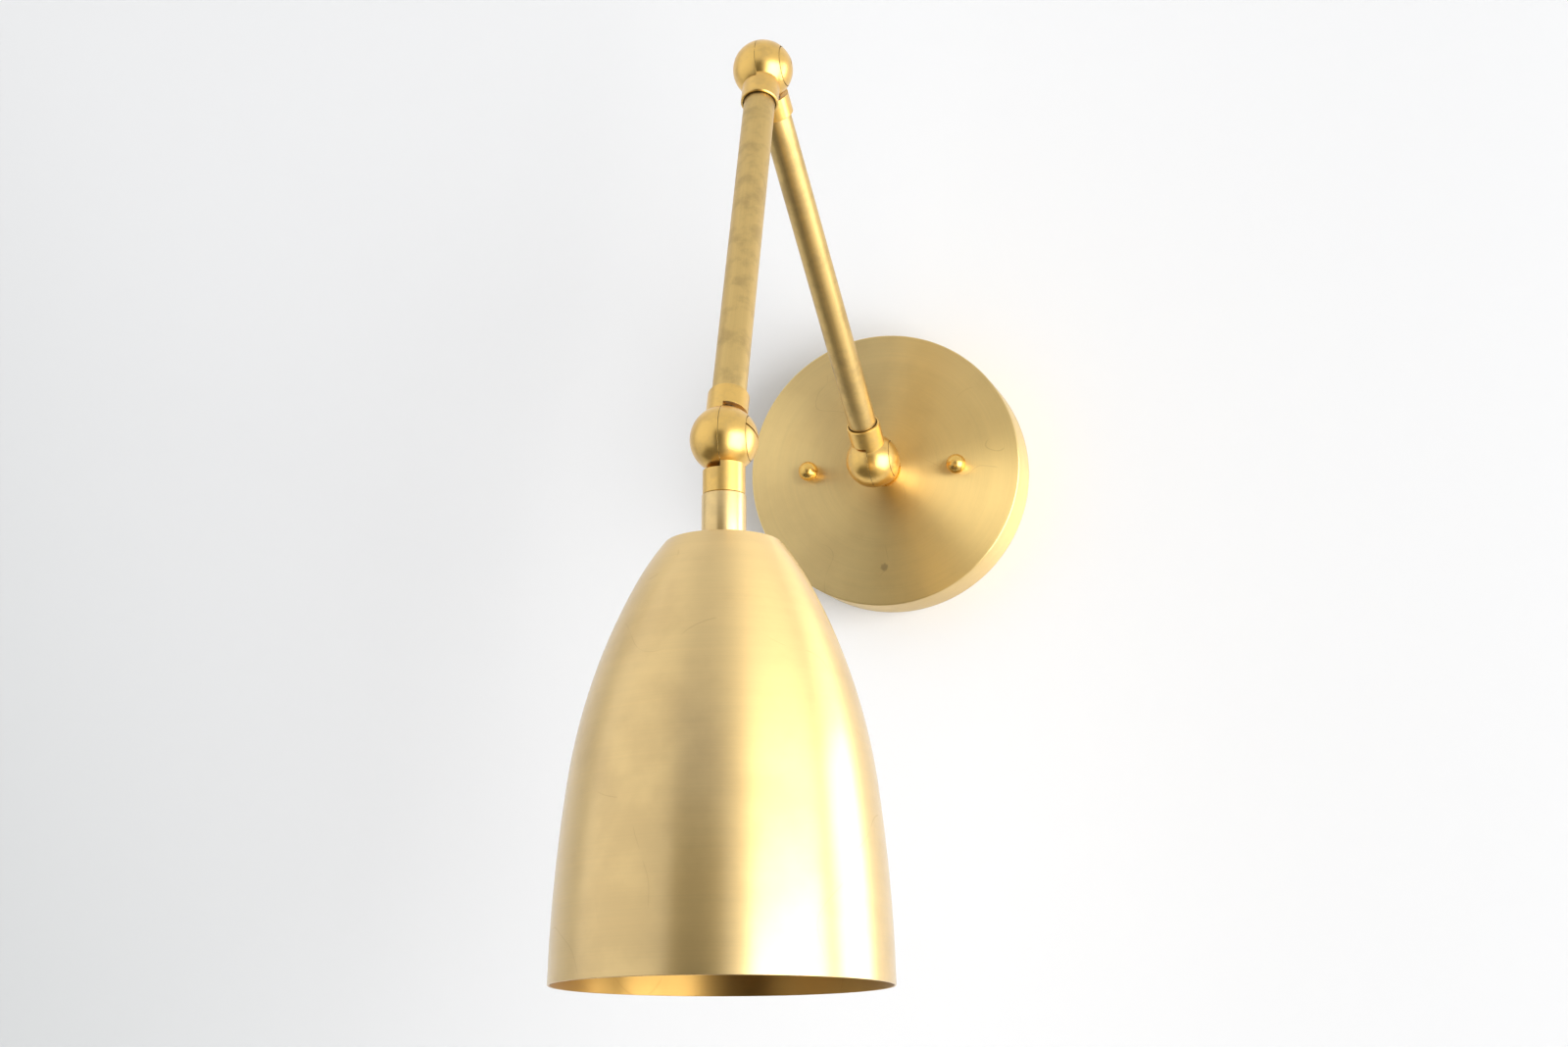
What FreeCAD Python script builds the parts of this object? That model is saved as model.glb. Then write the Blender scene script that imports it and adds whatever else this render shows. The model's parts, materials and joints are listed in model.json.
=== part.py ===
import FreeCAD, Part
import math
import os
import Sketcher

# Wall sconce with two equal brass arms, three ball swivels and a hanging spun shade.
# Frame: +X to the right along the wall, +Y into the wall, +Z up, in millimetres.
# The origin is the centre of the canopy's back, on the wall's face.

DOCUMENT = FreeCAD.newDocument("wall_sconce")
SHEET = DOCUMENT.addObject("Spreadsheet::Sheet", "sizes")
NODES = []


class Size:
    """A length or angle: its value now, and the text of the expression that binds it."""

    def __init__(self, value, text):
        self.value = float(value)
        self.text = text

    def __add__(self, other):
        other = as_size(other)
        return Size(self.value + other.value, f"({self.text} + {other.text})")

    def __sub__(self, other):
        other = as_size(other)
        return Size(self.value - other.value, f"({self.text} - {other.text})")

    def __mul__(self, other):
        other = as_size(other)
        return Size(self.value * other.value, f"({self.text} * {other.text})")

    def __truediv__(self, other):
        other = as_size(other)
        return Size(self.value / other.value, f"({self.text} / {other.text})")

    def __neg__(self):
        return as_size(0) - self

    __radd__ = __add__
    __rmul__ = __mul__

    def __rsub__(self, other):
        return as_size(other) - self


def as_size(value):
    """A plain number as a Size, so that both can be mixed in sums."""
    return value if isinstance(value, Size) else Size(value, repr(float(value)))


def sine(angle):
    """Sine of a Size in degrees."""
    return Size(math.sin(math.radians(angle.value)), f"sin({angle.text} * 1deg)")


def cosine(angle):
    """Cosine of a Size in degrees."""
    return Size(math.cos(math.radians(angle.value)), f"cos({angle.text} * 1deg)")


def root(square):
    """Square root of a Size."""
    return Size(math.sqrt(square.value), f"sqrt({square.text})")


class Sizes:
    """Every driving dimension as a Size, under its alias in the sheet."""

    def __init__(self, values):
        for alias, value in values.items():
            setattr(self, alias, Size(value, f"sizes.{alias}"))


# ---------------------------------------------------------------- driving dimensions

DRIVING = {
    # Canopy and what fixes it to the wall box.
    "canopy_diameter": 127.0,             # outside diameter of the canopy
    "canopy_depth": 25.4,                 # depth of the canopy from the wall
    "canopy_wall": 0.9,                   # thickness of the canopy's sheet
    "canopy_edge_radius": 0.8,            # outside radius of the canopy's front edge
    "stud_spacing": 69.85,                # distance between the two canopy studs
    "stud_diameter": 4.0,                 # diameter of a canopy stud
    "stud_hole_clearance": 0.3,           # gap round a stud in the canopy
    "stud_start": 0.3,                    # distance from the wall to a stud's rear end
    "ball_nut_diameter": 9.0,             # diameter of a ball nut
    "ball_nut_foot_diameter": 6.4,        # diameter of a ball nut's foot
    "ball_nut_centre": 4.4,               # height of a ball nut's centre over the canopy
    "ball_nut_bore_depth": 6.0,           # depth of a ball nut's thread
    "stud_tip_clearance": 0.3,            # gap between a stud's tip and its nut's blind end
    "strap_length": 106.0,                # length of the mounting strap
    "strap_width": 19.0,                  # width of the mounting strap
    "strap_thickness": 2.0,               # thickness of the mounting strap
    "strap_centre_hole": 10.6,            # diameter of the strap's centre hole
    "box_screw_spacing": 88.9,            # distance between the wall box screws
    "box_slot_width": 4.6,                # width of a wall box screw's slot
    "box_slot_length": 10.0,              # end-to-end length of that slot
    "stud_nut_across_flats": 8.7,         # across flats of a stud's lock nut
    "stud_nut_thickness": 3.2,            # thickness of a stud's lock nut
    "earth_screw_offset": 19.0,           # distance of the earth screw from the centre
    "earth_screw_diameter": 4.8,          # diameter of the earth screw's thread
    "earth_head_diameter": 9.4,           # diameter of the earth screw's head
    "earth_head_thickness": 2.6,          # thickness of the earth screw's head
    "earth_slot_width": 1.2,              # width of the earth screw's slot
    # Swivels: three alike, each a ball split in two on a plane through its centre.
    "ball_diameter": 24.3,                # diameter of a swivel's ball
    "collar_diameter": 15.0,              # diameter of a swivel's collar
    "collar_end": 20.5,                   # distance from the ball's centre to the collar's end
    "collar_chamfer": 0.35,               # chamfer round the collar's end
    "dish_clearance": 1.7,                # gap between a collar's dished side and the other half
    "split_gap": 0.16,                    # gap between the two halves of a ball
    "hub_diameter": 8.0,                  # diameter of the hub round the pivot in each half
    "cavity_diameter": 17.0,              # diameter of the wire space in each half
    "cavity_depth": 4.4,                  # depth of the wire space in each half
    "pivot_diameter": 5.0,                # diameter of the pivot screw's shank
    "pivot_clearance": 0.08,              # running gap round the pivot's shank
    "pivot_end": 8.2,                     # distance from the split to the shank's tip
    "pivot_head_diameter": 15.7,          # diameter of the pivot screw's domed head
    "pivot_head_clearance": 0.25,         # gap round the pivot's head
    "pivot_head_underside": 7.5,          # distance from the split to the head's underside
    "pivot_slot_width": 0.8,              # width of the pivot screw's slot
    "pivot_slot_floor": 9.6,              # distance from the split to the slot's floor
    "friction_washer_outside": 22.6,      # outside diameter of the friction washer
    "friction_washer_inside": 18.6,       # inside diameter of the friction washer
    "friction_washer_thickness": 0.5,     # thickness of the friction washer
    "friction_recess_depth": 0.4,         # depth of the recess that holds it
    "washer_clearance": 0.06,             # gap beside a washer in its seat
    "spring_washer_outside": 11.0,        # outside diameter of the spring washer
    "spring_washer_thickness": 0.5,       # thickness of the spring washer
    # Tubes, threaded nipples and leads.
    "arm_length": 197.4,                  # distance between the pivots of one arm
    "tube_diameter": 12.5,                # outside diameter of an arm's tube
    "collar_mouth_diameter": 13.4,        # diameter of the recess in a collar's end
    "collar_mouth_depth": 2.0,            # depth of that recess
    "tube_end_clearance": 0.1,            # gap between a tube's end and its collar
    "nipple_diameter": 10.2,              # outside diameter of a threaded nipple
    "thread_clearance": 0.05,             # radial gap that stands for a thread
    "wire_bore_diameter": 7.2,            # bore of a nipple, which the leads pass
    "nipple_start": 13.3,                 # distance from a ball's centre to a nipple's end
    "nipple_in_tube": 9.5,                # length of a nipple inside a tube
    "lead_diameter": 2.0,                 # outside diameter of an insulated lead
    "lead_spread": 2.3,                   # distance between the centres of the two leads
    "lead_rest_clearance": 0.05,          # gap between a lead and the bore it lies in
    # Base nipple's fastening inside the canopy.
    "base_nipple_rear": 12.0,             # distance from the wall to the nipple's rear end
    "seat_washer_thickness": 0.9,         # thickness of the washer under the base collar
    "seat_washer_diameter": 16.4,         # outside diameter of that washer
    "lock_washer_diameter": 17.5,         # outside diameter of the lock washer
    "lock_washer_thickness": 0.8,         # thickness of the lock washer
    "locknut_across_flats": 15.0,         # across flats of a nipple's lock nut
    "locknut_thickness": 4.0,             # thickness of a nipple's lock nut
    "lead_tail": 5.0,                     # length of the leads behind the base nipple
    # Shade and its fastening.
    "coupling_diameter": 15.6,            # diameter of the coupling over the shade
    "coupling_length": 17.3,              # length of the coupling
    "shade_opening": 115.5,               # outside diameter of the shade's rim
    "shade_height": 151.1,                # height of the shade
    "shade_wall": 0.8,                    # thickness of the shade's sheet
    "shade_corner_radius": 1.2,           # radius at the edge of the shade's flat top
    "shoulder_radius": 100.0,             # radius of the shade's shoulder
    "side_radius": 208.0,                 # radius of the shade's side
    "shoulder_angle": 38.3,               # angle of the outline where the shoulder starts
    "side_angle": 27.7,                   # angle of the outline where the side starts
    "skirt_angle": 7.83,                  # angle of the outline where the skirt starts
    "rim_angle": 1.0,                     # angle of the outline at the rim
    "shade_washer_diameter": 22.0,        # outside diameter of the washer in the shade
    "shade_washer_thickness": 1.5,        # thickness of that washer
    # Lamp holder.
    "cap_clearance": 1.6,                 # distance from the lock nut to the holder's cap
    "cap_hub_diameter": 16.0,             # diameter of the hub on the cap
    "cap_hub_height": 5.2,                # height of that hub
    "cap_diameter": 35.0,                 # outside diameter of the cap
    "cap_wall": 1.0,                      # thickness of the cap's wall
    "cap_shoulder_height": 2.6,           # height of the cap's sloping shoulder
    "cap_skirt_height": 8.2,              # height of the cap's straight wall
    "holder_spigot_height": 4.0,          # height of the holder's base inside the cap
    "holder_floor_thickness": 11.8,       # thickness of the holder's floor
    "holder_length": 43.0,                # length of the holder's insulating body
    "holder_spigot_clearance": 0.1,       # gap round the spigot in the cap
    "screw_shell_bore": 26.5,             # bore of the screw shell
    "screw_shell_wall": 0.6,              # thickness of the screw shell
    "screw_shell_clearance": 0.1,         # gap round the screw shell
    "screw_shell_length": 28.0,           # length of the screw shell
    "screw_shell_floor_hole": 18.0,       # hole in the screw shell's floor
    "screw_shell_corner": 3.0,            # inside radius between the shell's floor and its thread
    "contact_stem_diameter": 4.0,         # diameter of the centre contact's stem
    "contact_diameter": 9.0,              # diameter of the centre contact's button
    "contact_edge_height": 1.0,           # height of the button's straight edge
    "contact_height": 3.2,                # height of the centre contact's button
    "terminal_offset": 9.0,               # distance of a terminal screw from the axis
    "terminal_diameter": 3.0,             # diameter of a terminal screw
    "terminal_head_diameter": 5.4,        # diameter of a terminal screw's head
    "terminal_head_thickness": 1.6,       # thickness of that head
    "terminal_depth": 6.0,                # depth of a terminal screw in the holder
    "set_screw_diameter": 3.0,            # diameter of the cap's set screw
    "set_screw_proud": 0.6,               # length of the set screw outside the hub
    "set_screw_slot": 0.6,                # width and depth of the set screw's slot
    "set_screw_tip_clearance": 0.05,      # gap between the set screw and the nipple
    # The pose in which it hangs.
    "base_turn": 4.53,                    # turn of the base swivel about the canopy's axis
    "arm_rise": 43.35,                    # rise of the lower arm over the horizontal
    "elbow_bend": 104.35,                 # bend at the elbow, from straight
    "upper_twist": -7.1,                  # turn between the upper arm's two swivels
    "knuckle_bend": 23.9,                 # bend at the shade's swivel, from straight
    "wall_screw_turn": 33.0,              # turn of the slot in the wall swivel's pivot screw
    "elbow_screw_turn": 118.0,            # turn of the slot in the elbow swivel's pivot screw
    "shade_screw_turn": 86.0,             # turn of the slot in the shade swivel's pivot screw
}

for row, (alias, value) in enumerate(DRIVING.items(), start=1):
    SHEET.set(f"A{row}", alias.replace("_", " "))
    SHEET.set(f"B{row}", str(value))
    SHEET.setAlias(f"B{row}", alias)
DOCUMENT.recompute()

size = Sizes(DRIVING)

# ---------------------------------------------------------------- derived sizes

BALL_R = size.ball_diameter / 2
COLLAR_R = size.collar_diameter / 2
NIPPLE_R = size.nipple_diameter / 2
NIPPLE_HOLE_R = NIPPLE_R + size.thread_clearance
TUBE_BORE_R = NIPPLE_HOLE_R
HALF_GAP = size.split_gap / 2
MOUTH_FLOOR = size.collar_end - size.collar_mouth_depth
TUBE_START = MOUTH_FLOOR + size.tube_end_clearance
PIVOT_BORE_R = size.pivot_diameter / 2 + size.pivot_clearance
HEAD_SEAT = size.pivot_head_underside - size.spring_washer_thickness - 2 * size.washer_clearance
FRICTION_REAR = -(HALF_GAP + size.friction_recess_depth)
CANOPY_R = size.canopy_diameter / 2
CANOPY_INNER_FACE = size.canopy_depth - size.canopy_wall
STUD_R = size.stud_diameter / 2
STUD_BORE_R = STUD_R + size.thread_clearance
STUD_X = size.stud_spacing / 2
LOCK_WASHER_REAR = CANOPY_INNER_FACE - size.lock_washer_thickness
COLLAR_SEAT = size.canopy_depth + size.seat_washer_thickness
PIVOT_HEIGHT = COLLAR_SEAT + size.collar_end
SHADE_TOP = size.collar_end + size.coupling_length
SHADE_CEILING = SHADE_TOP + size.shade_wall
SHADE_NUT_TOP = SHADE_CEILING + size.shade_washer_thickness
CAP_TOP = SHADE_NUT_TOP + size.locknut_thickness + size.cap_clearance
CAP_HUB_BASE = CAP_TOP + size.cap_hub_height
CAP_SHOULDER_BASE = CAP_HUB_BASE + size.cap_shoulder_height
CAP_RIM = CAP_SHOULDER_BASE + size.cap_skirt_height
HOLDER_TOP = CAP_RIM - size.holder_spigot_height
HOLDER_CUP_FLOOR = HOLDER_TOP + size.holder_floor_thickness
SHELL_R = size.screw_shell_bore / 2 + size.screw_shell_wall
SHELL_SEAT_R = SHELL_R + size.screw_shell_clearance
LEAD_REACH = size.wire_bore_diameter / 2 - size.lead_diameter / 2 - size.lead_rest_clearance
LEAD_DROP = root(LEAD_REACH * LEAD_REACH - size.lead_spread * size.lead_spread / 4)

# ---------------------------------------------------------------- building blocks


def bind(thing, **sizes):
    """Bind properties of an object to sizes; a plain number is set as it is."""
    for name, value in sizes.items():
        path = name.replace("__", ".")
        if isinstance(value, Size):
            thing.setExpression(path, value.text)
        else:
            setattr(thing, path, value)


def lay_along(thing, axis, low):
    """Turn a primitive so that its own Z runs along axis, and start it at low on that axis."""
    turns = {"x": FreeCAD.Rotation(FreeCAD.Vector(0, 1, 0), 90), "z": FreeCAD.Rotation()}
    thing.Placement = FreeCAD.Placement(FreeCAD.Vector(), turns[axis])
    bind(thing, **{f"Placement__Base__{axis}": as_size(low)})


def cylinder(radius, low, high, axis="z", x=None, y=None):
    """A cylinder round an axis of the part's own frame, or beside Z at x and y."""
    thing = DOCUMENT.addObject("Part::Cylinder", "cylinder")
    bind(thing, Radius=as_size(radius), Height=as_size(high) - low)
    lay_along(thing, axis, low)
    if x is not None:
        bind(thing, Placement__Base__x=as_size(x))
    if y is not None:
        bind(thing, Placement__Base__y=as_size(y))
    return thing


def ring(outer, inner, low, high, axis="z"):
    """A flat ring or sleeve round an axis."""
    return cut(cylinder(outer, low, high, axis), cylinder(inner, low - 1, high + 1, axis))


def sphere(radius):
    """A ball round the origin."""
    thing = DOCUMENT.addObject("Part::Sphere", "sphere")
    bind(thing, Radius=as_size(radius))
    return thing


def block(corner, size):
    """A box from its lowest corner and its three sides."""
    thing = DOCUMENT.addObject("Part::Box", "block")
    bind(thing, Length=as_size(size[0]), Width=as_size(size[1]), Height=as_size(size[2]))
    bind(thing, Placement__Base__x=as_size(corner[0]), Placement__Base__y=as_size(corner[1]),
         Placement__Base__z=as_size(corner[2]))
    return thing


def hexagon(across_flats, low, high):
    """A hexagonal prism round Z."""
    thing = DOCUMENT.addObject("Part::Prism", "hexagon")
    thing.Polygon = 6
    bind(thing, Circumradius=across_flats / math.sqrt(3), Height=high - low)
    lay_along(thing, "z", low)
    return thing


def fuse(*things):
    """One solid of several that overlap, or a group of those that don't."""
    joined = DOCUMENT.addObject("Part::MultiFuse", "fuse")
    joined.Shapes = list(things)
    joined.Refine = True
    return joined


def common(first, second):
    """What two solids share."""
    shared = DOCUMENT.addObject("Part::MultiCommon", "common")
    shared.Shapes = [first, second]
    return shared


def cut(base, *tools):
    """A solid less one or more others."""
    left = DOCUMENT.addObject("Part::Cut", "cut")
    left.Base = base
    left.Tool = tools[0] if len(tools) == 1 else fuse(*tools)
    left.Refine = True
    return left


def origin_plane(body, role):
    """The named plane of a body's own origin."""
    return next(feature for feature in body.Origin.OriginFeatures if feature.Role == role)


def arc_between(start, end, radius, turn):
    """Arc under a half circle from start to end; turn is 1 with its centre on the left, -1 on the right."""
    chord = end - start
    half = chord.Length / 2
    side = FreeCAD.Vector(-chord.y, chord.x, 0).normalize() * turn
    centre = (start + end) * 0.5 + side * math.sqrt(max(radius ** 2 - half ** 2, 0))
    circle = Part.Circle(centre, FreeCAD.Vector(0, 0, 1), radius)
    first, last = (start, end) if turn > 0 else (end, start)
    return Part.ArcOfCircle(circle, circle.parameter(first), circle.parameter(last))


def pin_point(sketch, segment, end, radius, height):
    """Hold one sketch point at a radius and a height."""
    for place, kind, axis in ((radius, "DistanceX", -2), (height, "DistanceY", -1)):
        place = as_size(place)
        if place.value == 0:
            sketch.addConstraint(Sketcher.Constraint("PointOnObject", segment, end, axis))
        else:
            index = sketch.addConstraint(Sketcher.Constraint(kind, -1, 1, segment, end, place.value))
            sketch.setExpression(f"Constraints[{index}]", place.text)


def turned(outline):
    """A part turned round Z. Each point of the closed outline is (radius, height), and where
    the stretch to the next point is an arc, (radius, height, arc radius, turn)."""
    body = DOCUMENT.addObject("PartDesign::Body", "turned")
    sketch = body.newObject("Sketcher::SketchObject", "outline")
    sketch.AttachmentSupport = (origin_plane(body, "XZ_Plane"), [""])
    sketch.MapMode = "FlatFace"
    ends = []
    for point, following in zip(outline, outline[1:] + outline[:1]):
        start = FreeCAD.Vector(as_size(point[0]).value, as_size(point[1]).value, 0)
        end = FreeCAD.Vector(as_size(following[0]).value, as_size(following[1]).value, 0)
        if len(point) == 2:
            segment = sketch.addGeometry(Part.LineSegment(start, end), False)
            ends.append((segment, 1, 2))
        else:
            arc = arc_between(start, end, as_size(point[2]).value, point[3])
            segment = sketch.addGeometry(arc, False)
            ends.append((segment, 1, 2) if point[3] > 0 else (segment, 2, 1))
    for (segment, first, last), (after, after_first, _) in zip(ends, ends[1:] + ends[:1]):
        sketch.addConstraint(Sketcher.Constraint("Coincident", segment, last, after, after_first))
    for (segment, first, _), point in zip(ends, outline):
        pin_point(sketch, segment, first, point[0], point[1])
        if len(point) == 4:
            index = sketch.addConstraint(Sketcher.Constraint("Radius", segment, as_size(point[2]).value))
            sketch.setExpression(f"Constraints[{index}]", as_size(point[2]).text)
    revolution = body.newObject("PartDesign::Revolution", "revolution")
    revolution.Profile = sketch
    revolution.ReferenceAxis = (sketch, ["V_Axis"])
    revolution.Angle = 360
    body.Tip = revolution
    return body


def node(name, thing, place):
    """Name a finished sub-part and put it in its place."""
    thing.Label = name
    thing.Placement = place
    NODES.append(thing)


def frame(origin, x_axis, z_axis):
    """Placement with its own X and Z along two directions at right angles."""
    return FreeCAD.Placement(origin, FreeCAD.Rotation(x_axis, z_axis.cross(x_axis), z_axis, "ZXY"))


def turned_about(vector, axis, degrees):
    """A direction turned about an axis."""
    return FreeCAD.Rotation(axis, degrees).multVec(vector)


# ---------------------------------------------------------------- pose

OUT = FreeCAD.Vector(0, -1, 0)
RIGHT = FreeCAD.Vector(1, 0, 0)

SWING_AXIS = turned_about(RIGHT, FreeCAD.Vector(0, -1, 0), size.base_turn.value)
LOWER_DIRECTION = turned_about(OUT, SWING_AXIS, -size.arm_rise.value)
UPPER_DIRECTION = turned_about(LOWER_DIRECTION, SWING_AXIS, size.elbow_bend.value)
SHADE_SWING_AXIS = turned_about(SWING_AXIS, UPPER_DIRECTION, size.upper_twist.value)
SHADE_DIRECTION = turned_about(UPPER_DIRECTION, SHADE_SWING_AXIS, size.knuckle_bend.value)

WALL_PIVOT = OUT * PIVOT_HEIGHT.value
ELBOW_PIVOT = WALL_PIVOT + LOWER_DIRECTION * size.arm_length.value
KNUCKLE_PIVOT = ELBOW_PIVOT + UPPER_DIRECTION * size.arm_length.value

ON_WALL = frame(FreeCAD.Vector(), RIGHT, OUT)
LOWER_ARM = frame(WALL_PIVOT, SWING_AXIS, LOWER_DIRECTION)
UPPER_ARM = frame(ELBOW_PIVOT, SWING_AXIS, UPPER_DIRECTION)
SHADE_HEAD = frame(KNUCKLE_PIVOT, SHADE_SWING_AXIS, SHADE_DIRECTION)

# ---------------------------------------------------------------- canopy and wall fixing


def canopy():
    """Flat-faced spun dish with a straight side, open at the back."""
    inner_r = CANOPY_R - size.canopy_wall
    dish = turned([
        (CANOPY_R, 0),
        (CANOPY_R, size.canopy_depth - size.canopy_edge_radius, size.canopy_edge_radius, 1),
        (CANOPY_R - size.canopy_edge_radius, size.canopy_depth),
        (NIPPLE_HOLE_R, size.canopy_depth),
        (NIPPLE_HOLE_R, CANOPY_INNER_FACE),
        (inner_r, CANOPY_INNER_FACE),
        (inner_r, 0),
    ])
    hole_r = STUD_R + size.stud_hole_clearance
    holes = [cylinder(hole_r, CANOPY_INNER_FACE - 1, size.canopy_depth + 1, x=side * STUD_X)
             for side in (-1, 1)]
    return cut(dish, *holes)


def strap():
    """Steel strap behind the canopy, with two tapped holes and two slots for the wall box."""
    half = size.strap_width / 2
    straight = size.strap_length - size.strap_width
    plate = fuse(block((-straight / 2, -half, 0), (straight, size.strap_width, size.strap_thickness)),
                 cylinder(half, 0, size.strap_thickness, x=-straight / 2),
                 cylinder(half, 0, size.strap_thickness, x=straight / 2))
    low, high = as_size(-1), size.strap_thickness + 1
    earth_r = size.earth_screw_diameter / 2 + size.thread_clearance
    holes = [
        cylinder(size.strap_centre_hole / 2, low, high),
        cylinder(earth_r, low, high, x=size.earth_screw_offset),
    ]
    slot_r = size.box_slot_width / 2
    slot_run = size.box_slot_length - size.box_slot_width
    for side in (-1, 1):
        holes.append(cylinder(STUD_BORE_R, low, high, x=side * STUD_X))
        middle = side * size.box_screw_spacing / 2
        slot_sides = (slot_run, size.box_slot_width, high - low)
        holes.append(block((middle - slot_run / 2, -slot_r, low), slot_sides))
        holes += [cylinder(slot_r, low, high, x=middle + end * slot_run / 2) for end in (-1, 1)]
    return cut(plate, *holes)


STUD_TIP = size.canopy_depth + size.ball_nut_bore_depth - size.stud_tip_clearance


def studs():
    """Two threaded studs from the strap through the canopy."""
    return fuse(*[cylinder(STUD_R, size.stud_start, STUD_TIP, x=side * STUD_X) for side in (-1, 1)])


def stud_nuts():
    """Two hexagon nuts that lock the studs to the strap."""
    low = size.strap_thickness
    high = low + size.stud_nut_thickness
    nuts = []
    for side in (-1, 1):
        outside = hexagon(size.stud_nut_across_flats, low, high)
        bind(outside, Placement__Base__x=side * STUD_X)
        nuts.append(cut(outside, cylinder(STUD_BORE_R, low - 1, high + 1, x=side * STUD_X)))
    return fuse(*nuts)


def ball_nuts():
    """Two ball nuts that draw the canopy to the wall, each blind."""
    foot_r = size.ball_nut_foot_diameter / 2
    ball_r = size.ball_nut_diameter / 2
    centre = size.canopy_depth + size.ball_nut_centre
    nuts = []
    for side in (-1, 1):
        nut = turned([
            (STUD_BORE_R, size.canopy_depth),
            (foot_r, size.canopy_depth),
            (foot_r, centre - root(ball_r * ball_r - foot_r * foot_r), ball_r, 1),
            (0, centre + ball_r),
            (0, size.canopy_depth + size.ball_nut_bore_depth),
            (STUD_BORE_R, size.canopy_depth + size.ball_nut_bore_depth),
        ])
        bind(nut, Placement__Base__x=side * STUD_X)
        nuts.append(nut)
    return fuse(*nuts)


def earth_screw():
    """Slotted screw for the earth wire, in the strap."""
    middle = size.earth_screw_offset
    low = size.strap_thickness
    high = low + size.earth_head_thickness
    width = size.earth_slot_width
    head = cylinder(size.earth_head_diameter / 2, low, high, x=middle)
    shank = cylinder(size.earth_screw_diameter / 2, size.stud_start, low + 1, x=middle)
    slot = block((middle - size.earth_head_diameter, -width / 2, high - width),
                 (2 * size.earth_head_diameter, width, 2 * width))
    return cut(fuse(head, shank), slot)


def lock_nut(top, thickness):
    """Thin hexagon nut for a nipple, from one height up."""
    return cut(hexagon(size.locknut_across_flats, top, top + thickness),
               cylinder(NIPPLE_HOLE_R, top - 1, top + thickness + 1))


def nipple(low, high):
    """Short threaded pipe."""
    return ring(NIPPLE_R, size.wire_bore_diameter / 2, low, high)


def leads(low, high):
    """Two insulated leads side by side, lying in a nipple's bore."""
    radius = size.lead_diameter / 2
    aside = size.lead_spread / 2
    return fuse(*[cylinder(radius, low, high, x=side * aside, y=-LEAD_DROP) for side in (-1, 1)])


node("canopy", canopy(), ON_WALL)
node("mounting_strap", strap(), ON_WALL)
node("canopy_studs", studs(), ON_WALL)
node("stud_lock_nuts", stud_nuts(), ON_WALL)
node("canopy_ball_nuts", ball_nuts(), ON_WALL)
node("earth_screw", earth_screw(), ON_WALL)
node("base_nipple", nipple(size.base_nipple_rear, PIVOT_HEIGHT - size.nipple_start), ON_WALL)
node("base_seat_washer",
     ring(size.seat_washer_diameter / 2, NIPPLE_HOLE_R, size.canopy_depth, COLLAR_SEAT), ON_WALL)
node("base_lock_washer",
     ring(size.lock_washer_diameter / 2, NIPPLE_HOLE_R, LOCK_WASHER_REAR, CANOPY_INNER_FACE), ON_WALL)
node("base_lock_nut",
     lock_nut(LOCK_WASHER_REAR - size.locknut_thickness, size.locknut_thickness), ON_WALL)
node("supply_leads", leads(size.base_nipple_rear - size.lead_tail, PIVOT_HEIGHT - size.nipple_start), ON_WALL)

# ---------------------------------------------------------------- swivels


def half_block(near):
    """A block as large as a ball that reaches to the right from near."""
    reach = size.ball_diameter
    return block((near, -reach, -reach), (reach, 2 * reach, 2 * reach))


def swivel_half(side):
    """Half of a ball with a full collar along Z. The collar's other side is dished, so that it
    clears the other half as it turns about X."""
    own_side = half_block(HALF_GAP if side > 0 else -HALF_GAP - size.ball_diameter)
    other_side = half_block(HALF_GAP - size.ball_diameter if side > 0 else -HALF_GAP)
    dish = common(sphere(BALL_R + size.dish_clearance), other_side)
    blank = fuse(common(sphere(BALL_R), own_side), cut(cylinder(COLLAR_R, 0, size.collar_end), dish))
    bevel = DOCUMENT.addObject("Part::Cone", "bevel")
    chamfer = size.collar_chamfer
    bind(bevel, Radius1=COLLAR_R, Radius2=COLLAR_R - chamfer, Height=chamfer)
    lay_along(bevel, "z", size.collar_end - chamfer)
    rim = cut(cylinder(COLLAR_R + 1, size.collar_end - chamfer, size.collar_end), bevel)
    cavity_ends = (0, size.cavity_depth) if side > 0 else (-size.cavity_depth, 0)
    wire_space = ring(size.cavity_diameter / 2, size.hub_diameter / 2, *cavity_ends, axis="x")
    wire_way = (size.cavity_diameter + size.hub_diameter) / 4
    tools = [
        rim,
        wire_space,
        cylinder(size.wire_bore_diameter / 2, wire_way, size.nipple_start),
        cylinder(NIPPLE_HOLE_R, size.nipple_start, size.collar_end + 1),
        cylinder(size.collar_mouth_diameter / 2, MOUTH_FLOOR, size.collar_end + 1),
    ]
    if side > 0:
        tools.append(cylinder(PIVOT_BORE_R, -1, HEAD_SEAT + 1, axis="x"))
        head_room = size.pivot_head_diameter / 2 + size.pivot_head_clearance
        tools.append(cylinder(head_room, HEAD_SEAT, size.ball_diameter, axis="x"))
    else:
        tools.append(cylinder(PIVOT_BORE_R, -size.pivot_end - size.pivot_clearance, 1, axis="x"))
        outer = size.friction_washer_outside / 2 + size.washer_clearance
        inner = size.friction_washer_inside / 2 - size.washer_clearance
        tools.append(ring(outer, inner, FRICTION_REAR, 0, axis="x"))
    return cut(blank, *tools)


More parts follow.
